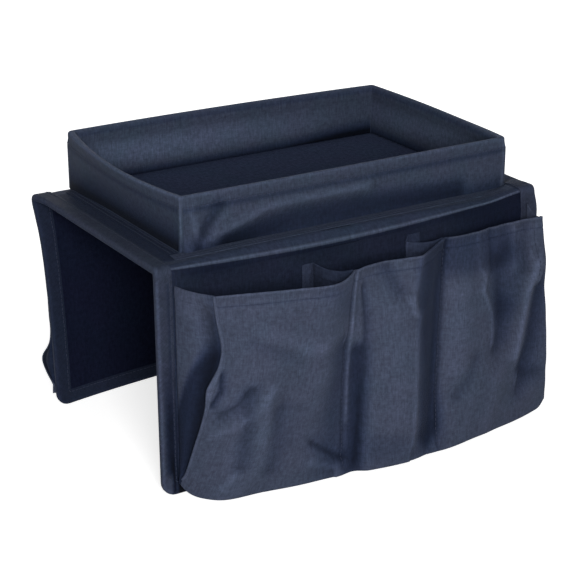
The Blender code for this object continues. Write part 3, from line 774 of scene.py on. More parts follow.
def raised(tree, height, depth, strength=1.0):
    """The normals of a surface that stands up by that depth where the height is 1."""
    relief = tree.nodes.new("ShaderNodeBump")
    set_values(relief.inputs, {"Distance": depth, "Strength": strength})
    tree.links.new(height, relief.inputs["Height"])
    return relief.outputs["Normal"]


def cloth_finish(threads, weave):
    material, tree, surface = principled(weave.name, weave.colour)
    woven = tree.nodes.new("ShaderNodeGroup")
    woven.node_tree = threads
    set_values(woven.inputs, {"Cloth": (*weave.colour, 1), "Tint": (*weave.tint, 1),
                              "Pitch": weave.pitch * MM, "Streaks": weave.streaks, "Wear": weave.wear})
    tree.links.new(woven.outputs["Colour"], surface["Base Color"])
    tree.links.new(woven.outputs["Roughness"], surface["Roughness"])
    tree.links.new(raised(tree, woven.outputs["Height"], weave.depth * MM, 0.8), surface["Normal"])
    set_values(surface, {"Sheen Weight": weave.sheen, "Sheen Roughness": 0.35, "Sheen Tint": SHEEN_TINT,
                         "Specular IOR Level": weave.specular})
    return material


def thread_finish(name, colour):
    """Twisted sewing thread: darker between its strands."""
    material, tree, surface = principled(name, colour)
    place = tree.nodes.new("ShaderNodeTexCoord")
    strands = noise(tree, place.outputs["Object"], 2600.0, 2.0)
    shade = spread(tree, strands, 0.35, 0.65, 0.7, 1.25)
    tree.links.new(mixed(tree, 1.0, (*colour, 1), grey(tree, shade), "MULTIPLY"), surface["Base Color"])
    tree.links.new(spread(tree, strands, 0.3, 0.7, 0.45, 0.7), surface["Roughness"])
    set_values(surface, {"Specular IOR Level": 0.1})
    return material


def card_finish(name, colour):
    """Grey pressed card with fibres."""
    material, tree, surface = principled(name, colour)
    place = tree.nodes.new("ShaderNodeTexCoord")
    fibres = noise(tree, place.outputs["Object"], 900.0, 5.0, 0.7)
    clouds = spread(tree, noise(tree, place.outputs["Object"], 60.0, 3.0), 0.3, 0.7, 0.9, 1.1)
    shade = sum_of(tree, "MULTIPLY", spread(tree, fibres, 0.3, 0.7, 0.8, 1.2), clouds)
    tree.links.new(mixed(tree, 1.0, (*colour, 1), grey(tree, shade), "MULTIPLY"), surface["Base Color"])
    tree.links.new(spread(tree, fibres, 0.3, 0.7, 0.55, 0.75), surface["Roughness"])
    tree.links.new(raised(tree, fibres, 0.05 * MM), surface["Normal"])
    return material


# A woven cloth: its material's name, colour and tint, its threads' pitch in millimetres, how streaked
# it is, how much its ridges are lightened and hollows darkened (wear with painted light and shade),
# how sheeny it is, how deep its weave is in millimetres, how much it shines, and its record slot
Weave = namedtuple("Weave", "name colour tint pitch streaks wear sheen depth specular slot")
WEAVES = {
    "cover": Weave("navy_oxford_cover", (0.042, 0.052, 0.086), (0.036, 0.056, 0.084),
                   0.55, 0.5, 0.30, 0.03, 0.13, 0.06, "cover_cloth"),
    # The cover cloth inside the pockets, as a darker copy of it: painted shade
    "flap": Weave("navy_oxford_cover_painted_shade", (0.0130, 0.0172, 0.036), (0.012, 0.020, 0.036),
                  0.55, 0.6, 0.30, 0.02, 0.13, 0.06, "cover_cloth"),
    "pocket": Weave("navy_oxford_pocket", (0.051, 0.061, 0.099), (0.045, 0.063, 0.099),
                    0.55, 0.5, 0.30, 0.03, 0.13, 0.06, "pocket_cloth"),
    "tape": Weave("navy_binding_tape", (0.029, 0.035, 0.060), (0.025, 0.038, 0.058),
                  0.42, 0.45, 0.35, 0.03, 0.10, 0.06, "binding_tape"),
    "lining": Weave("dark_lining", (0.0080, 0.0100, 0.0245), (0.007, 0.011, 0.024),
                    0.32, 0.3, 0.20, 0.02, 0.05, 0.0, "lining_cloth"),
    # The tray floor's lining, its colour raised about threefold above the lining's own: painted light
    "tray_lining": Weave("tray_lining_painted_light", (0.055, 0.070, 0.134), (0.048, 0.074, 0.130),
                         0.42, 0.3, 0.20, 0.02, 0.08, 0.0, "lining_cloth"),
}


def make_finishes():
    threads = woven_threads()
    made = {label: cloth_finish(threads, weave) for label, weave in WEAVES.items()}
    made["thread"] = thread_finish("navy_thread", (0.031, 0.038, 0.066))
    made["board"] = card_finish("stiffening_card", (0.060, 0.060, 0.065))
    return made


finishes = make_finishes()


def slotted(thing):
    return thing


def sewn(name, runs, flap=None):
    """Rows of stitches as one piece, which rides on the flap, or on the top."""
    thread = slotted(stitches(name, runs, finishes["thread"]))
    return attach(thread, f"{flap.name}_flap" if flap else "top")


def over_fold(thing):
    """Bakes the piece's transform into its mesh."""
    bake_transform(thing)


# Covers and linings, each one cloth from the top over the fold to the flap's foot

JOIN_OUT = 84 * MM
CREST_OUT = TOP_EDGE + 1.72 * FOLD_STEP
FLAT_STEP = 2.6 * MM
EDGE_BAND = 1 * MM
EDGE_STEP = 0.5 * MM
FOLD_FINE_STEP = 0.7 * MM
CREST_BAND = 1.2 * MM
CREST_FINE_STEP = 0.3 * MM


def panel_start(flap):
    """The front cloths run under the whole tray, and the rear ones start at their edge."""
    return -JOIN_OUT if flap.turn > 0 else JOIN_OUT + 0.4 * MM


def panel_levels(flap, end):
    """Places out from the top's middle line to a panel cloth's foot, closest at the fold's crest."""
    start = panel_start(flap)
    crest_start, crest_end = CREST_OUT - CREST_BAND, CREST_OUT + CREST_BAND
    flat_start = FOLD_END + 4 * MM
    return levels((start, start + EDGE_BAND, EDGE_STEP), (start + EDGE_BAND, TOP_EDGE, 4 * MM),
                  (TOP_EDGE, crest_start, FOLD_FINE_STEP), (crest_start, crest_end, CREST_FINE_STEP),
                  (crest_end, flat_start, FOLD_FINE_STEP), (flat_start, end - EDGE_BAND, FLAT_STEP),
                  (end - EDGE_BAND, end, EDGE_STEP))


def panel_across(reach):
    """Places along a panel cloth, closer together at both ends."""
    return levels((-reach, EDGE_BAND - reach, EDGE_STEP), (EDGE_BAND - reach, reach - EDGE_BAND, FLAT_STEP),
                  (reach - EDGE_BAND, reach, EDGE_STEP))[None, :]


def declare_panel(piece, nodes):
    """The cloth stands for its solids, which are hidden, and its transform is baked."""
    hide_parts(*nodes)
    over_fold(slotted(piece))


def cover_waves(flap, x, s):
    """Soft unevenness of the cover over the front ledge, the fold and the flap."""
    near_fold = bump(s, 90 * MM, 14 * MM)
    on_flap = rise(s, FOLD_END, 10 * MM)
    waves = 0.5 * near_fold * ripple(x, s * 0.4, 55 * MM, 2.1 + flap.turn)
    waves = waves + 0.25 * on_flap * ripple(x, s, 45 * MM, 5.3)
    dips = near_fold * (bump(x, -148 * MM, 5 * MM) + bump(x, 40 * MM, 9 * MM) * 0.6)
    crest = 0
    if flap.slack_share:
        crest = 0.7 * np.exp(-np.abs(s - CREST_OUT) / (0.35 * MM)) * (1 + 0.25 * ripple(x, 0, 60 * MM, 8.8))
    return (waves - 0.7 * dips + crest) * MM


def cover_shade(flap, x, s):
    """Painted light on the front cover: a painted highlight along the fold's crest and near the left end
    below it, painted shade on the left ledge beside the tray, over the rolled part of the fold, just
    under the crest and towards the right end, and random cloudiness below the crest.
    """
    crest = bump(s, CREST_OUT, 0.35 * MM)
    left = rise(-x, 128 * MM, 6 * MM) * (s < TOP_EDGE)
    below = rise(s - CREST_OUT, 0.4 * MM, 0.5 * MM)
    cloudy = 0.14 * below * ripple(x, s, 40 * MM, 9.1)
    near_left = 0.3 * below * bump(x, -146 * MM, 9 * MM)
    rolled = 0.26 * rise(s - TOP_EDGE, 0.6 * FOLD_STEP, 3 * MM)
    rolled = rolled * (1 - smooth_step((s - CREST_OUT + 0.5 * MM) / (0.4 * MM)))
    under = 0.35 * below * bump(s, CREST_OUT, 5 * MM)
    far_right = 0.25 * below * rise(x, 60 * MM, 40 * MM)
    shade = 0.6 * left + rolled - 0.5 * crest + cloudy - near_left + under + far_right
    return np.clip(shade, -0.6, 0.65) * (flap.turn > 0)


def make_cover(flap):
    s = panel_levels(flap, foot_of(flap) - EDGE_INSET)[:, None]
    reach = HALF_LENGTH - EDGE_INSET
    x = panel_across(reach)
    past = np.clip(s - (foot_of(flap) - CORNER_RADIUS), 0, CORNER_RADIUS)
    width = HALF_LENGTH - CORNER_RADIUS + np.sqrt(CORNER_RADIUS ** 2 - past ** 2)
    x_drawn = x * width / HALF_LENGTH
    free = 1 - rise(np.abs(x), 140 * MM, 8 * MM)
    slip = 1.1 * MM * np.minimum(1, np.abs(x) / BOUND_EDGE) ** 2 * bump(s, CREST_OUT, 3.5 * MM)
    slip = slip * (flap.turn > 0)
    rows = panel_place(flap, x_drawn, s - slip, COVER_OFF + free * cover_waves(flap, x, s))
    piece = cloth_piece(f"{flap.name}_cover_cloth", rows, finishes["cover"], shade=cover_shade(flap, x, s))

    # Below the fold's crest the cover's outer face takes its darker copy: painted shade
    piece.data.materials.append(finishes["flap"])
    quads_across = rows.shape[1] - 1
    below = int(np.searchsorted(s[:, 0], CREST_OUT + 0.4 * MM)) * quads_across
    on_side = (rows.shape[0] - 1) * quads_across
    which = np.zeros(len(piece.data.polygons), np.int32)
    which[below:on_side] = 1
    piece.data.polygons.foreach_set("material_index", which)
    nodes = [f"{flap.name}_fold_cloth", f"{flap.name}_flap_cover"] + ["top_cover"] * (flap.turn > 0)
    declare_panel(piece, nodes)


def make_lining(flap):
    end = foot_of(flap) - BINDING_WIDTH - LAYER_GAP
    s = panel_levels(flap, end)[:, None]
    reach = BOUND_EDGE - LAYER_GAP
    x = panel_across(reach)
    on_flap = rise(s, FOLD_END, 12 * MM) * (1 - smooth_step((s - end + 10 * MM) / (9 * MM)))
    free = on_flap * (1 - smooth_step((np.abs(x) - reach + 12 * MM) / (11 * MM)))
    waves = -0.5 * MM * free * (1 + ripple(x, s, 60 * MM, 7.7 + flap.turn))
    rows = panel_place(flap, x, s, LINING_OFF + waves)
    piece = cloth_piece(f"{flap.name}_lining_cloth", rows, finishes["lining"], turn=-1)
    nodes = [f"{flap.name}_flap_lining"] + ["top_lining"] * (flap.turn > 0)
    declare_panel(piece, nodes)


def make_top_card():
    """The stiffening board inside the top, a little raised at its front right corner."""
    reach = HALF_LENGTH - EDGE_INSET
    end = TOP_EDGE - 3 * MM
    s = levels((-end, end, 4 * MM))[:, None]
    x = levels((-reach, 100 * MM, 20 * MM), (100 * MM, reach, 3 * MM))[None, :]
    rows = panel_place(FRONT, x, s, 0)
    piece = cloth_piece("top_card", rows, finishes["board"], thick=BOARD)
    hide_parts("top_board")
    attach(slotted(piece), "top")


# The binding tape, folded over the edge

TAPE_EDGE_ROUND = 1.1 * MM
TAPE_STEP = 2.5 * MM
TAPE_FOLD_STEP = 0.8 * MM
TAPE_STITCHES_AT = 0.84
TAPE_STITCH_SIZE = 0.75


def edge_line(flap):
    """Places on a panel's edge, and the places a tape's width inside it, from the left end of the
    top down the flap, round its foot and back to the right end of the top."""
    out = HALF_LENGTH - CLOTH / 2
    foot = foot_of(flap) - CLOTH / 2
    start = -JOIN_OUT if flap.turn > 0 else JOIN_OUT - 6 * MM
    fine_end = FOLD_END + 3 * MM
    down = levels((start, TOP_EDGE, TAPE_STEP), (TOP_EDGE, fine_end, TAPE_FOLD_STEP),
                  (fine_end, foot - CORNER_RADIUS, TAPE_STEP))
    inner_foot = foot_of(flap) - BINDING_WIDTH
    edge = [(-out, s) for s in down]
    inside = [(-BOUND_EDGE, min(s, inner_foot)) for s in down]
    turns = np.radians(np.arange(15, 90, 15))
    for turn in turns:
        edge.append((-out + CORNER_RADIUS * (1 - cos(turn)), foot - CORNER_RADIUS * (1 - sin(turn))))
        inside.append((-BOUND_EDGE, inner_foot))
    for x in levels((-out + CORNER_RADIUS, out - CORNER_RADIUS, TAPE_STEP)):
        edge.append((x, foot))
        inside.append((max(-BOUND_EDGE, min(BOUND_EDGE, x)), inner_foot))
    half = len(down) + len(turns)
    edge += [(-x, s) for x, s in edge[:half][::-1]]
    inside += [(-x, s) for x, s in inside[:half][::-1]]
    return np.array(edge), np.array(inside)


def tape_profile():
    """Across the tape: share of its width in from the edge, and off the middle of the panel."""
    shares = [1.0, 0.96, 0.86, 0.72, 0.55, 0.36, 0.2]
    middle_high, middle_low = TAPE_OFF - TAPE_EDGE_ROUND, LINING_OFF + TAPE_EDGE_ROUND
    round_share = TAPE_EDGE_ROUND / BINDING_WIDTH
    turns = np.radians((0, 30, 60, 90))
    profile = [(share, TAPE_OFF) for share in shares]
    profile += [(round_share * (1 - sin(a)), middle_high + TAPE_EDGE_ROUND * cos(a)) for a in turns]
    profile += [(round_share * (1 - cos(a)), middle_low - TAPE_EDGE_ROUND * sin(a)) for a in turns]
    profile += [(share, LINING_OFF) for share in shares[::-1]]
    return np.array(profile)


def tape_place(flap, share, n):
    """The line on the tape at that share of its width in from the edge, and its places when flat."""
    edge, inside = edge_line(flap)
    flat = edge + (inside - edge) * share
    return panel_place(flap, flat[:, 0], flat[:, 1], n), flat


def tape_shade(flap, flat):
    """Painted light on the front tape's left side down the flap: a painted highlight along its outer edge
    and at its foot's corner, painted shade low down and across its width, a groove of painted shade
    near its inner edge higher up, and a lighter line along that inner edge.
    """
    inwards = (flat[:, 0] + HALF_LENGTH) / MM
    up = (foot_of(flap) - flat[:, 1]) / MM
    on_flap = smooth_step((foot_of(flap) - FOLD_END) / MM - up) * (inwards < 40)
    dark = 0.74 * smooth_step((112 - up) / 62) * rise(inwards, 1.5, 5)
    dark = dark + 0.2 * smooth_step((38 - up) / 20) * rise(inwards, 5, 4)
    corner = smooth_step((20 - up) / 8)
    dark = dark * (1 - corner * (1 - rise(inwards, 6.5, 2.5))) - 0.4 * corner * bump(inwards, 5, 2.2)
    dark = dark * (1 - 0.55 * bump(inwards, 10.8, 1.0))
    groove = 0.3 * bump(inwards, 8.5, 1.0) * rise(up, 80, 20)
    return on_flap * (dark + groove - 0.3 * bump(inwards, 1, 0.9))


def make_binding(flap):
    long = run_along(edge_line(flap)[0])
    columns, shades = [], []
    for share, n in tape_profile():
        pucker = 0.16 * MM * ripple(long, share * 10 * MM, 13 * MM, 3.3 + flap.turn) * (n > 0)
        line, flat = tape_place(flap, share, n + pucker)
        columns.append(line)
        # Painted shade: the front tape's outer side by tape_shade, the inner side evenly darker
        outer = tape_shade(flap, flat) if flap.turn > 0 else np.zeros(len(long))
        shades.append(outer if n > 0 else np.full(len(long), 0.45))
    piece = cloth_piece(f"{flap.name}_binding_tape", np.stack(columns, 1), finishes["tape"], thick=0.7 * MM,
                        grain=pi / 4, shade=np.stack(shades, 1))
    nodes = [f"{flap.name}_flap_binding"] + ["top_binding_left", "top_binding_right"] * (flap.turn > 0)
    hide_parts(*nodes)
    over_fold(slotted(piece))

    runs = []
    for side, level in ((1, TAPE_OFF), (-1, LINING_OFF)):
        line = tape_place(flap, TAPE_STITCHES_AT, level + side * 0.38 * MM)[0]
        above = tape_place(flap, TAPE_STITCHES_AT, level + side * 1.38 * MM)[0]
        keep = np.linalg.norm(np.diff(line, axis=0, prepend=line[:1] - 1), axis=-1) > 0.2 * MM
        runs.append(stitch_run(line[keep], unit(above - line)[keep], size=TAPE_STITCH_SIZE))
    thread = stitches(f"{flap.name}_binding_stitches", runs, finishes["thread"])
    over_fold(slotted(thread))


# The tray: one cloth goes up the outside of its walls, over the rim and down the inside

# A side of the tray: the way along it and out of it, half its length, how far it is from the
# tray's middle, and how far its rim bows out
Side = namedtuple("Side", "name along out half_run reach bow")
TRAY_LEFT = -HALF_LENGTH + LEFT_LEDGE
TRAY_RIGHT = BOUND_EDGE - RIGHT_MARGIN
TRAY_FRONT = -HALF_DEPTH + FRONT_LEDGE
TRAY_REAR = HALF_DEPTH - REAR_LEDGE
HALF_X = (TRAY_RIGHT - TRAY_LEFT) / 2
HALF_Y = (TRAY_REAR - TRAY_FRONT) / 2
TRAY_CENTRE = np.array(((TRAY_LEFT + TRAY_RIGHT) / 2, (TRAY_FRONT + TRAY_REAR) / 2, TOP_FACE + LAYER_GAP))
SIDES = (
    Side("front", np.array((1, 0, 0)), np.array((0, -1, 0)), HALF_X, HALF_Y, 0.5 * MM),
    Side("right", np.array((0, 1, 0)), np.array((1, 0, 0)), HALF_Y, HALF_X, 5 * MM),
    Side("rear", np.array((-1, 0, 0)), np.array((0, 1, 0)), HALF_X, HALF_Y, 4 * MM),
    Side("left", np.array((0, -1, 0)), np.array((-1, 0, 0)), HALF_Y, HALF_X, 10 * MM),
)
FRONT_WALL_BELLY = 2.2 * MM
FOOT_SWELL = 0.5 * MM
HEM_SWELL = 0.7 * MM
CORNER_PINCH = 1.5 * MM
OUTER_STITCHES_DOWN = 8 * MM
INNER_STITCHES_DOWN = 7.5 * MM
CORNER_BULGES = {"rear": 1.8 * MM, "front": 2.0 * MM}
INWARD_MOST = -0.1 * MM
OUTER_ROUND = 2.6 * MM
INNER_ROUND = 0.8 * MM
CORNER_TURNS = (15, 30, 45, 60, 75)
WALL_STEP = 2.4 * MM

# Folds of the tray's front wall: a line of places along it and up it in millimetres from its left
# end and its foot, then left and right reach, height, roundness and painted shade as for the pockets
FRONT_WALL_FOLDS = (
    Fold(((4, 2), (27, 9.5), (45, 16), (64, 22.5), (93, 24), (150, 24)), 6.5, 5.5, 3.0, 1.5, -0.16),
    Fold(((34, 3), (60, 8), (90, 12), (160, 11), (235, 8)), 8, 8, -2.0, 2.2, 0.42),
    Fold(((28, 29), (15, 13), (10, 4)), 4.5, 5, -2.2, 1.8, 0.34),
    Fold(((6, 30), (11, 8)), 4, 4, 1.2, 1.6, -0.12),
)
# How far the rim stands up at its rear left, rear right and front left
REAR_LEFT_LIFT = 5.2 * MM
REAR_RIGHT_LIFT = 3.4 * MM
FRONT_LEFT_LIFT = 0.4 * MM
LIFT_POWER = 1.6


def rim_lift(places, height):
    """The rear wall stands a few millimetres higher, most at its left end."""
    x = np.clip((places[:, 0] - TRAY_LEFT) / (TRAY_RIGHT - TRAY_LEFT), 0, 1)
    y = np.clip((places[:, 1] - TRAY_FRONT) / (TRAY_REAR - TRAY_FRONT), 0, 1)
    rear = REAR_LEFT_LIFT + (REAR_RIGHT_LIFT - REAR_LEFT_LIFT) * x
    front = FRONT_LEFT_LIFT * (1 - x)
    return (front + (rear - front) * y ** LIFT_POWER) * np.clip(height / TRAY_HEIGHT, 0, 1) ** LIFT_POWER


def tray_shade(side, run, height, outside):
    """Painted light by height in millimetres: painted shade at the foot of each wall, in the hem, low on
    the left wall and in the front wall's folds, a painted shadow on the inner rear wall towards the
    right, and a painted highlight along the rim and up the middle of the inner walls.
    """
    up = height / MM
    rim = 0.30 * bump(up, TRAY_HEIGHT / MM, 1.2)
    if outside:
        shade = 0.50 * np.exp(-(up / 9) ** 2) + 0.38 * bump(up, TRAY_HEIGHT / MM - 10, 2) - 1.3 * rim
        if side.name == "left":
            shade = shade + 0.60 * np.exp(-(up / 19) ** 2) - 0.06 - 1.8 * rim
        if side.name == "front":
            along = (run + 1) * side.half_run
            shade = shade + folds_at(FRONT_WALL_FOLDS, along, height, MM, MM)[1]
        return min(shade, 0.90)
    foot, middle = 0.92 * np.exp(-(up / 8) ** 2), 0.6 * bump(up, 20, 10)
    shade = 0.32 * rise(up, 33.5, 2.5) + foot - middle - 3 * rim
    if side.name == "rear":
        shade = shade + 0.5 * smooth_step((-run - 0.3) / 0.6) * (1 - rise(up, 22, 12))
        shade = shade - 0.3 * smooth_step((run + 0.3) / 0.5) * bump(up, 20, 12)
    return min(shade, 0.93)


def wall_relief(side, run, height, outside):
    """How far a tray wall's cloth stands out: creases, belly and folds, and bulges at two corners."""
    along = (run + 1) * side.half_run
    up = height / MM
    relief = 0.22 * MM * ripple(along, height, 40 * MM, side.bow * 300 + 1) * bump(up, 18, 14)
    if not outside:
        return relief
    relief = relief + FOOT_SWELL * bump(up, 0, 3)
    if side.name == "front":
        belly = FRONT_WALL_BELLY * (1 - run ** 6) * bump(up, 16, 15)
        relief = relief + belly + folds_at(FRONT_WALL_FOLDS, along, height, MM, MM)[0]
    if side.name in ("left", "right"):
        bulge = CORNER_BULGES["rear" if side.name == "left" else "front"]
        relief = relief + bulge * smooth_step((-run - 0.2) / 0.8)
    return np.maximum(relief, INWARD_MOST)


def tray_loop(depth, height, outside):
    """Places round the tray, depth in from its outer faces, and the painted shade at each."""
    lean = (depth - CLOTH / 2) / (WALL - CLOTH)
    turn_radius = OUTER_ROUND + (INNER_ROUND - OUTER_ROUND) * lean
    pinch_here = CORNER_PINCH * outside * (1 - rise(height / MM, 30, 9))
    places, shades = [], []
    for side in SIDES:
        end = side.half_run - depth - turn_radius
        for run in np.linspace(-1, 1, int(round(2 * side.half_run / WALL_STEP))):
            bow = side.bow * (1 - run * run) * (height / TRAY_HEIGHT) ** BOW_POWER
            out = side.reach - depth + bow + wall_relief(side, run, height, outside)
            places.append(TRAY_CENTRE + side.along * run * end + side.out * out)
            shades.append(tray_shade(side, run, height, outside))
        hub = side.along * end + side.out * (side.reach - depth - turn_radius)
        bulge = CORNER_BULGES.get(side.name, 0) * outside
        for turn in CORNER_TURNS:
            a = radians(turn)
            reach = turn_radius + pinch_here * bump(turn, 45, 12)
            place = TRAY_CENTRE + hub + (side.out * cos(a) + side.along * sin(a)) * reach
            places.append(place + side.along * bulge * sin(a))
            # At the corners the painted shade is halved, with a painted highlight outside
            shades.append(tray_shade(side, 1, height, outside) * 0.5 - 0.2 * outside)
    places = np.array(places)
    places[:, 2] += height + rim_lift(places, height)
    return places, np.array(shades, float)


def tray_path():
    """Up the outside, over the rim and down the inside: depth in, height and which side."""
    near, far = CLOTH / 2, WALL - CLOTH / 2
    middle, half = (near + far) / 2, (far - near) / 2
    roof = TRAY_HEIGHT - CLOTH / 2
    path = [(near, h, True) for h in levels((0, 1.5 * MM, 0.5 * MM), (1.5 * MM, roof - half, 1.7 * MM))]
    for turn in (30, 60, 90, 120, 150):
        a = radians(turn)
        path.append((middle - half * cos(a), roof - half + half * sin(a), turn < 90))
    for h in levels((0, roof - half, 1.9 * MM))[::-1]:
        path.append((far + HEM_SWELL * rise(h / MM, 31, 3.5), h, False))
    return path


def make_tray(flanges):
    loops = [tray_loop(*place) for place in tray_path()]
    rows, shade = (np.stack(parts) for parts in zip(*loops))
    piece = cloth_piece("tray_wall_cloth", rows, finishes["cover"], closed=True, turn=-1, shade=shade)
    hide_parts(*(f"tray_wall_sleeve_{side.name}" for side in SIDES))
    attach(slotted(piece), "top")

    runs = []
    for depth, down, outside, size, way in ((CLOTH / 2, OUTER_STITCHES_DOWN, True, 0.95, 1),
                                            (WALL - CLOTH / 2, INNER_STITCHES_DOWN, False, 0.55, -1)):
        line = tray_loop(depth - way * 0.42 * MM, TRAY_HEIGHT - down, outside)[0]
        further = tray_loop(depth - way * 1.42 * MM, TRAY_HEIGHT - down, outside)[0]
        line, further = (np.concatenate([loop, loop[:1]]) for loop in (line, further))
        runs.append(stitch_run(line, unit(further - line), size=size))
    sewn("tray_hem_stitches", runs)


FLOOR_STEP = 3 * MM
FLOOR_CROWN = 0.9 * MM


def make_tray_floor():
    inside = WALL + LAYER_GAP
    reach_x, reach_y = HALF_X - inside, HALF_Y - inside
    x = levels((-reach_x, reach_x, FLOOR_STEP))[None, :]
    y = levels((-reach_y, reach_y, FLOOR_STEP))[:, None]
    floor = TOP_FACE + 2 * LAYER_GAP + TRAY_BOARD + LAYER_GAP + CLOTH / 2
    edge = np.minimum(reach_x - np.abs(x), reach_y - np.abs(y))
    crown = FLOOR_CROWN * smooth_step(edge / (14 * MM))
    z = floor + crown + 0.35 * MM * smooth_step(edge / (20 * MM)) * ripple(x, y, 70 * MM, 4.4)
    rows = np.stack(np.broadcast_arrays(TRAY_CENTRE[0] + x, TRAY_CENTRE[1] + y, z), -1)
    # Its lining colour is painted light, lighter than the cloth itself
    piece = cloth_piece("tray_floor_cloth", rows, finishes["tray_lining"], turn=-1)
    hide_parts("tray_floor_lining")
    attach(slotted(piece), "top")


def make_flange(side_name, start, end, out, dark):
    """A strip at the tray's foot that is stitched down on the top, and its two rows of stitches."""
    start, end, out = (np.array(v) for v in (start, end, out))
    long = np.linalg.norm(end - start)
    along = (end - start) / long
    t = levels((0, long, 2.5 * MM))[:, None]
    w = levels((0, FLANGE_WIDTH, 0.8 * MM))[None, :]
    lift = 0.45 * MM * bump(w, 0, 1.6 * MM) - 0.45 * MM * rise(w, 3 * MM, 5 * MM)
    lift = lift + 0.05 * MM * ripple(t, w, 24 * MM, long * 9)
    rows = start + along * t[..., None] + out * w[..., None] + np.array((0, 0, 1)) * lift[..., None]
    # Painted shade over the strip, set by dark, and a painted highlight along its edge at the wall's foot
    shade = dark - (0.5 + dark) * bump(w, 0, 0.7 * MM) + 0 * t
    name = f"tray_flange_{side_name}_strip"
    piece = cloth_piece(name, rows, finishes["cover"], thick=0.45 * MM, turn=1, shade=shade)
    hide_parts(f"tray_flange_{side_name}")
    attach(slotted(piece), "top")
    runs = []
    for inset, size, lie in ((2.4 * MM, 0.8, 0.28 * MM), (5.6 * MM, 0.7, 0.12 * MM)):
        line = start + along * t + out * inset + np.array((0, 0, lie))
        runs.append(stitch_run(line, np.broadcast_to((0.0, 0.0, 1.0), line.shape), size=size))
    sewn(f"{name}_stitches", runs)
    return piece


def make_flanges():
    base = TOP_FACE + LAYER_GAP + CLOTH / 2
    left = TRAY_LEFT - LAYER_GAP
    front = TRAY_FRONT - LAYER_GAP
    corner = (left - FLANGE_WIDTH, front, base)
    # The last number is each strip's painted shade, deepest beside the tray's left wall
    return [make_flange("front", corner, (TRAY_RIGHT, front, base), (0, -1, 0), 0.08),
            make_flange("left", (left, TOP_EDGE, base), (left, TRAY_FRONT, base), (-1, 0, 0), 0.66)]


# The pockets

def pocket_levels(count, foot_share=1.0):
    """Shares down a pocket cloth, closest together in its hem."""
    fine = levels((0, 1.2 * MM, 0.6 * MM), (1.2 * MM, HEM - 1 * MM, 1.1 * MM),
                  (HEM - 1 * MM, HEM + 1 * MM, 0.4 * MM))
    rest = np.linspace(HEM + 1 * MM, SHEET_DROP * foot_share, count)[1:]
    return np.concatenate([fine, rest]) / SHEET_DROP


def hem_groove(v):
    """The cloth is drawn in along its hem's stitches, and its edge rolls a little outwards."""
    groove = 0.35 * MM * bump(v, HEM_SHARE, 0.7 * MM / SHEET_DROP)
    return 0.5 * MM * bump(v, 0, 1.6 * MM / SHEET_DROP) - groove


def hem_thick(v):
    """The cloth is nearly twice as thick where it is turned over for the hem."""
    return CLOTH * (1 + 0.8 * (1 - smooth_step((v - HEM_SHARE) * SHEET_DROP / (0.4 * MM))))


def on_sheet(flap, u, v):
    """Places on the pocket sheet, without the groove of its hem."""
    x, down, off = sheet_place(flap, u, v)
    return flap_point(flap, x, down, PANEL_HALF + off)


def surface_line(flap, u, v, lift):
    """Places on the pocket sheet, lifted off it, and its normals there."""
    x, down, off = sheet_place(flap, u, v)
    line = flap_point(flap, x, down, PANEL_HALF + (off + hem_groove(v)))
    du = 0.004
    ahead = on_sheet(flap, np.minimum(1, u + du), v) - on_sheet(flap, np.maximum(0, u - du), v)
    below = on_sheet(flap, u, v + du) - line
    way = unit(np.cross(below, ahead))
    return line + way * lift, way


def make_pocket_sheet(flap, narrow_pieces):
    columns, rows_down = (264, 118) if flap.turn > 0 else (150, 66)
    u, v = np.broadcast_arrays(np.linspace(0, 1, columns)[None, :], pocket_levels(rows_down)[:, None])
    x, down, off = sheet_place(flap, u, v)
    rows = flap_point(flap, x, down, PANEL_HALF + (off + hem_groove(v)))
    piece = cloth_piece(f"{flap.name}_pocket_cloth", rows, finishes["pocket"], thick=hem_thick(v),
                        shade=sheet_shade(flap, u, v))
    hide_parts(f"{flap.name}_pocket_sheet")
    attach(slotted(piece), f"{flap.name}_flap")

    u_line = np.linspace(0.012, 0.988, 260)
    v_line = np.linspace(0.0, 0.985, 140)
    end_line = np.linspace(0.01, 0.30, 60)
    lines = [(u_line, np.full(u_line.shape, HEM_SHARE), 0.8)]
    wander = 0.0015 * np.sin(v_line * 9)
    lines += [(np.full(v_line.shape, seam) + wander, v_line, 0.8) for seam in SEAM_SHARES]
    lines += [(np.full(end_line.shape, 0.968), end_line, 0.9)]
    runs = [stitch_run(*surface_line(flap, u, v, CLOTH / 2), size=size) for u, v, size in lines]
    sewn(f"{flap.name}_pocket_stitches", runs, flap)


NARROWEST_SHEET = 10 * MM
GUSSET_FOOT_SHARE = 0.985
TAB_RISE = 5 * MM
WALL_STATIONS = 30
# A cloth wall between the flap and the sheet: its name and its node's, where its root is along the
# flap and off it, the share of the sheet that it meets, how far it bulges and folds sideways, the
# share of the sheet's depth that it ends at, how wide its sewn tab is, and how much lower its root is
Hanging = namedtuple("Hanging", "name node root root_off u belly valley foot_share tab drop")


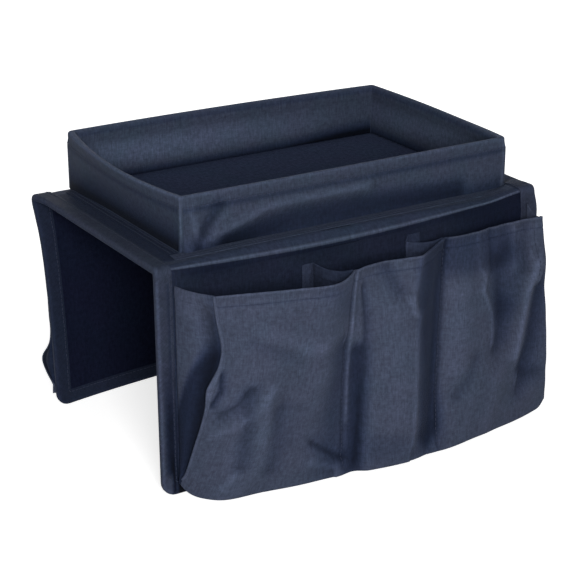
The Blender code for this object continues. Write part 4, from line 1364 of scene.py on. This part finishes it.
def hanging_rows(flap, wall_of):
    """A cloth wall from its root on the flap out to the sheet, with its places and its painted shade."""
    v = pocket_levels(60, wall_of.foot_share)[:, None]
    t = np.linspace(0, 1, WALL_STATIONS)[None, :]
    v, t = np.broadcast_arrays(v, t)
    x1, down, off1 = sheet_place(flap, np.full(v.shape, wall_of.u), v)
    lower = wall_of.drop * (1 - t ** 4)
    if wall_of.drop < 0:
        lower = wall_of.drop * (1 - t) ** 4 + 3 * MM * np.sin(pi * t)
    down = down + lower * (1 - v) ** 2
    over_tape = smooth_step((v - pocket_low(flap) + 0.04) / 0.03)
    root_off = wall_of.root_off + (ON_BINDING - wall_of.root_off) * over_tape
    off1 = np.maximum(off1, root_off)
    length = np.maximum(np.hypot(x1 - wall_of.root, off1 - root_off), SEAM_CLEARANCE)
    t = t * (1 - SEAM_CLEARANCE * 0.6 / length)
    side = wall_of.belly * np.sin(pi * t) + wall_of.valley * bump(t, 0.74, 0.16) * smooth_step(v / 0.12)
    side = side + 0.5 * MM * np.sin(pi * t) * ripple(t * 40 * MM, v * SHEET_DROP, 34 * MM, wall_of.root * 90)
    x = wall_of.root + (x1 - wall_of.root) * t + side
    off = root_off + (off1 - root_off) * t
    # Painted shade, darker towards the sheet and low down; on the front's left gusset a painted highlight
    # where lit and painted shade where the sheet hides it
    shade = 0.02 + 0.62 * t ** 1.6 + 0.56 * rise(v, 0.38, 0.35)
    if flap.turn > 0 and wall_of.root < -BOUND_EDGE + 5 * MM:
        hidden = rise(t + 1.9 * (v - 0.26), 0.5, 0.25)
        lit = 0.22 - 0.18 * rise(v, 0.05, 0.1)
        shade = 0.45 * t ** 2.5 + 0.66 * hidden * rise(v, 0.15, 0.2) - lit * (1 - hidden)
        shade = shade - 0.35 * rise(t, 0.82, 0.15) * bump(v, 0.40, 0.1)
    if wall_of.tab:
        tab_x = wall_of.root + np.linspace(wall_of.tab, 0, 8)[:-1][None, :] + 0 * v[:, :1]
        tab_down = down[:, :1] - TAB_RISE * (wall_of.tab > 0) * (1 - v[:, :1]) ** 2 + 0 * tab_x
        first = wall_of.tab < 0
        x = np.concatenate([tab_x, x], 1)
        behind = 0 * tab_x + root_off[:, :1]
        off = np.concatenate([behind, off], 1)
        down = np.concatenate([tab_down, down], 1)
        v = np.concatenate([0 * tab_x + v[:, :1], v], 1)
        # The tabs and the dividers' walls are painted darker: painted shade inside the pockets
        shade = np.concatenate([0 * tab_x + (0.25 if first else 0.4), 0.25 + 0.2 * shade], 1)
    return flap_point(flap, x, down, PANEL_HALF + off), v, np.clip(shade, -0.25, 0.82)


def pocket_low(flap):
    """The share of the sheet's depth down to the tape along the flap's foot."""
    return 1 - (BINDING_WIDTH + 2 * MM) / (flap_run(flap) - FOOT_CLEARANCE - MOUTH_DROP)


def make_pocket_walls(flap):
    """The gussets and dividers. Gives back those narrower than NARROWEST_SHEET."""
    low = pocket_low(flap)
    walls = (
        Hanging("left_gusset", "gusset_left", -POCKET_ROOT, ON_COVER, 0.004, -2.6 * MM, 3.0 * MM,
                GUSSET_FOOT_SHARE, 0, 0),
        Hanging("right_gusset", "gusset_right", RIGHT_ROOT, ON_BINDING, 0.996, 2.5 * MM, -1.5 * MM,
                GUSSET_FOOT_SHARE, 0, -5.5 * MM),
        Hanging("first_divider", "divider_1", -36 * MM, ON_COVER, SEAM_SHARES[0], -3 * MM, 0,
                low, -SEAM_TAB_WIDTH, 5 * MM),
        Hanging("second_divider", "divider_2", 43.5 * MM, ON_COVER, SEAM_SHARES[1], -2 * MM, 0,
                low, 12 * MM, 4.5 * MM),
    )
    narrow_pieces = []
    for wall_of in walls:
        name = f"{flap.name}_{wall_of.name}"
        rows, v, shade = hanging_rows(flap, wall_of)
        piece = cloth_piece(f"{name}_cloth", rows, finishes["pocket"], thick=hem_thick(v), shade=shade)
        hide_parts(f"{flap.name}_pocket_{wall_of.node}")
        wide = mean_length(rows, 1)
        if wide < NARROWEST_SHEET:
            narrow_pieces.append(piece)
        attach(slotted(piece), f"{flap.name}_flap")

        normals = facing(rows, False, 1)
        row = int(np.argmin(np.abs(v[:, 0] - HEM_SHARE)))
        lines = [(rows[row], way * normals[row]) for way in (1, -1)]
        if wall_of.tab:
            lines += [(rows[:, column], normals[:, column]) for column in (1, 5)]
        runs = [stitch_run(line + way * CLOTH / 2, way, size=0.8) for line, way in lines]
        sewn(f"{name}_stitches", runs, flap)
    return narrow_pieces


def make_corner_seam(flap):
    """The narrow standing seam where the left gusset meets the sheet: it opens into an ear."""
    v = np.linspace(0.0, 0.97, 120)
    x, down, off = sheet_place(flap, np.full(v.shape, 0.002), v)
    x_in, down_in, off_in = sheet_place(flap, np.full(v.shape, 0.02), v)
    edge = flap_point(flap, x, down, PANEL_HALF + off)
    inner = flap_point(flap, x_in, down_in, PANEL_HALF + off_in)
    out = unit(edge - inner)
    wide = 1.8 * MM + (3.6 * MM if flap.turn > 0 else 1 * MM) * bump(v, 0.44, 0.07)
    t = np.linspace(0, 1, 6)
    curl = flap.turn * np.array((0, -1.0, 0))
    rows = (edge[:, None] + out[:, None] * (wide[:, None] * t)[..., None]
            + curl * (0.9 * MM * np.sin(pi * t * 0.8)[None, :] * (wide / wide.max())[:, None])[..., None])
    # Painted highlight: the seam is painted lighter
    piece = cloth_piece(f"{flap.name}_corner_seam", rows, finishes["pocket"], thick=0.9 * MM, turn=-1,
                        shade=-0.2)
    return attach(slotted(piece), f"{flap.name}_flap")


def make_pocket_floor(flap):
    u = np.linspace(0.004, 0.996, 140)[None, :]
    t = np.linspace(0, 1, 14)[:, None]
    x1, level, off1 = sheet_place(flap, u, np.ones(u.shape))
    level = level - CLOTH
    x0 = np.clip(x1, -POCKET_ROOT, RIGHT_ROOT - 1 * MM)
    length = np.maximum(np.hypot(x1 - x0, off1 - ON_BINDING), SEAM_CLEARANCE)
    reach = (1 - 0.6 * SEAM_CLEARANCE / length) * t
    x = x0 + (x1 - x0) * reach
    off = ON_BINDING + (off1 - ON_BINDING) * reach
    sag = 0.5 * MM * np.sin(pi * t) * (1 + ripple(x, off, 30 * MM, 6.1))
    rows = flap_point(flap, x, np.broadcast_to(level, x.shape) - sag, PANEL_HALF + off)
    piece = cloth_piece(f"{flap.name}_pocket_floor_cloth", rows, finishes["pocket"])
    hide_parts(f"{flap.name}_pocket_floor")
    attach(slotted(piece), f"{flap.name}_flap")


make_top_card()
for flap in (FRONT, REAR):
    make_cover(flap)
    make_lining(flap)
    make_binding(flap)
    make_pocket_sheet(flap, [make_corner_seam(flap)] + make_pocket_walls(flap))
    make_pocket_floor(flap)
make_tray(make_flanges())
make_tray_floor()

for name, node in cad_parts.items():
    if name.endswith("board") or "_board_" in name:
        for slot_of in node.material_slots:
            slot_of.material = finishes["board"]


# Camera, light and ground

# The photo's camera: its angle from the front and above the ground, and its distance. Its focal
# length is a share of the sensor's width.
VIEW_AZIMUTH = radians(-31.927)
VIEW_ELEVATION = radians(21.245)
VIEW_DISTANCE = 1.2915
VIEW_TARGET = Vector((4.1 * MM, 0, -77.8 * MM + TOP_FACE))
VIEW_LENS_SHARE = 2.9091
SENSOR = 36
LAMP_TARGET = Vector((0, 0, -60 * MM))
GROUND_REACH = 3.0
GLOW_REACH = (0.2, 0.45)
GLOW_STRENGTH = (0.70, 1.0)
AMBIENT = 0.10


def looking_back(azimuth, elevation):
    """The direction from the organizer to a camera or lamp."""
    return Vector((sin(azimuth) * cos(elevation), -cos(azimuth) * cos(elevation), sin(elevation)))


def facing_back(thing, target, back, distance):
    thing.location = target + back * distance
    thing.rotation_euler = back.to_track_quat("Z", "Y").to_euler()


def make_camera():
    data = bpy.data.cameras.new("camera")
    data.sensor_width = SENSOR
    data.lens = VIEW_LENS_SHARE * SENSOR
    data.clip_start = 0.05
    camera = in_scene("camera", data)
    facing_back(camera, VIEW_TARGET, looking_back(VIEW_AZIMUTH, VIEW_ELEVATION), VIEW_DISTANCE)
    bpy.context.scene.camera = camera


def make_lamp(name, azimuth, elevation, distance, size, power):
    data = bpy.data.lights.new(name, "AREA")
    data.size = size
    data.energy = power
    back = looking_back(radians(azimuth), radians(elevation))
    facing_back(in_scene(name, data), LAMP_TARGET, back, distance)


def seen_directly(tree):
    """1 where the camera, a reflection or a clear surface shows it, and 0 for light on things."""
    path = tree.nodes.new("ShaderNodeLightPath").outputs
    seen = sum_of(tree, "MAXIMUM", path["Is Camera Ray"], path["Is Glossy Ray"])
    return sum_of(tree, "MAXIMUM", seen, path["Is Transmission Ray"])


def make_ground():
    """White ground: lit near the object, so that its shadow shows, and glowing white further out."""
    material, tree, surface = principled("white_ground")
    set_values(surface, {"Base Color": (0.8, 0.8, 0.8, 1), "Roughness": 0.9, "Specular IOR Level": 0.1,
                         "Emission Color": (1, 1, 1, 1)})
    place = tree.nodes.new("ShaderNodeTexCoord")
    distance = tree.nodes.new("ShaderNodeVectorMath")
    distance.operation = "LENGTH"
    tree.links.new(place.outputs["Object"], distance.inputs[0])
    glow = spread(tree, distance.outputs["Value"], *GLOW_REACH, *GLOW_STRENGTH)
    tree.links.new(sum_of(tree, "MULTIPLY", seen_directly(tree), glow), surface["Emission Strength"])
    height = FLOOR_HEIGHT - 0.4 * MM
    corners = [(x * GROUND_REACH, y * GROUND_REACH, height) for x, y in ((-1, -1), (1, -1), (1, 1), (-1, 1))]
    mesh = bpy.data.meshes.new("ground")
    mesh.from_pydata(corners, [], [(0, 1, 2, 3)])
    mesh.materials.append(material)
    in_scene("ground", mesh)


def make_world():
    world = bpy.data.worlds.new("studio")
    bpy.context.scene.world = world
    world.use_nodes = True
    backdrop = world.node_tree.nodes["Background"].inputs
    backdrop["Color"].default_value = (1, 1, 1, 1)
    strength = spread(world.node_tree, seen_directly(world.node_tree), 0.0, 1.0, AMBIENT, 1.0)
    world.node_tree.links.new(strength, backdrop["Strength"])


make_camera()
make_lamp("key_lamp", -26, 20, 1.7, 0.5, 23)
make_lamp("rear_lamp", 150, 12, 1.9, 1.2, 10)
make_ground()
make_world()
bpy.context.scene.view_settings.view_transform = "Standard"
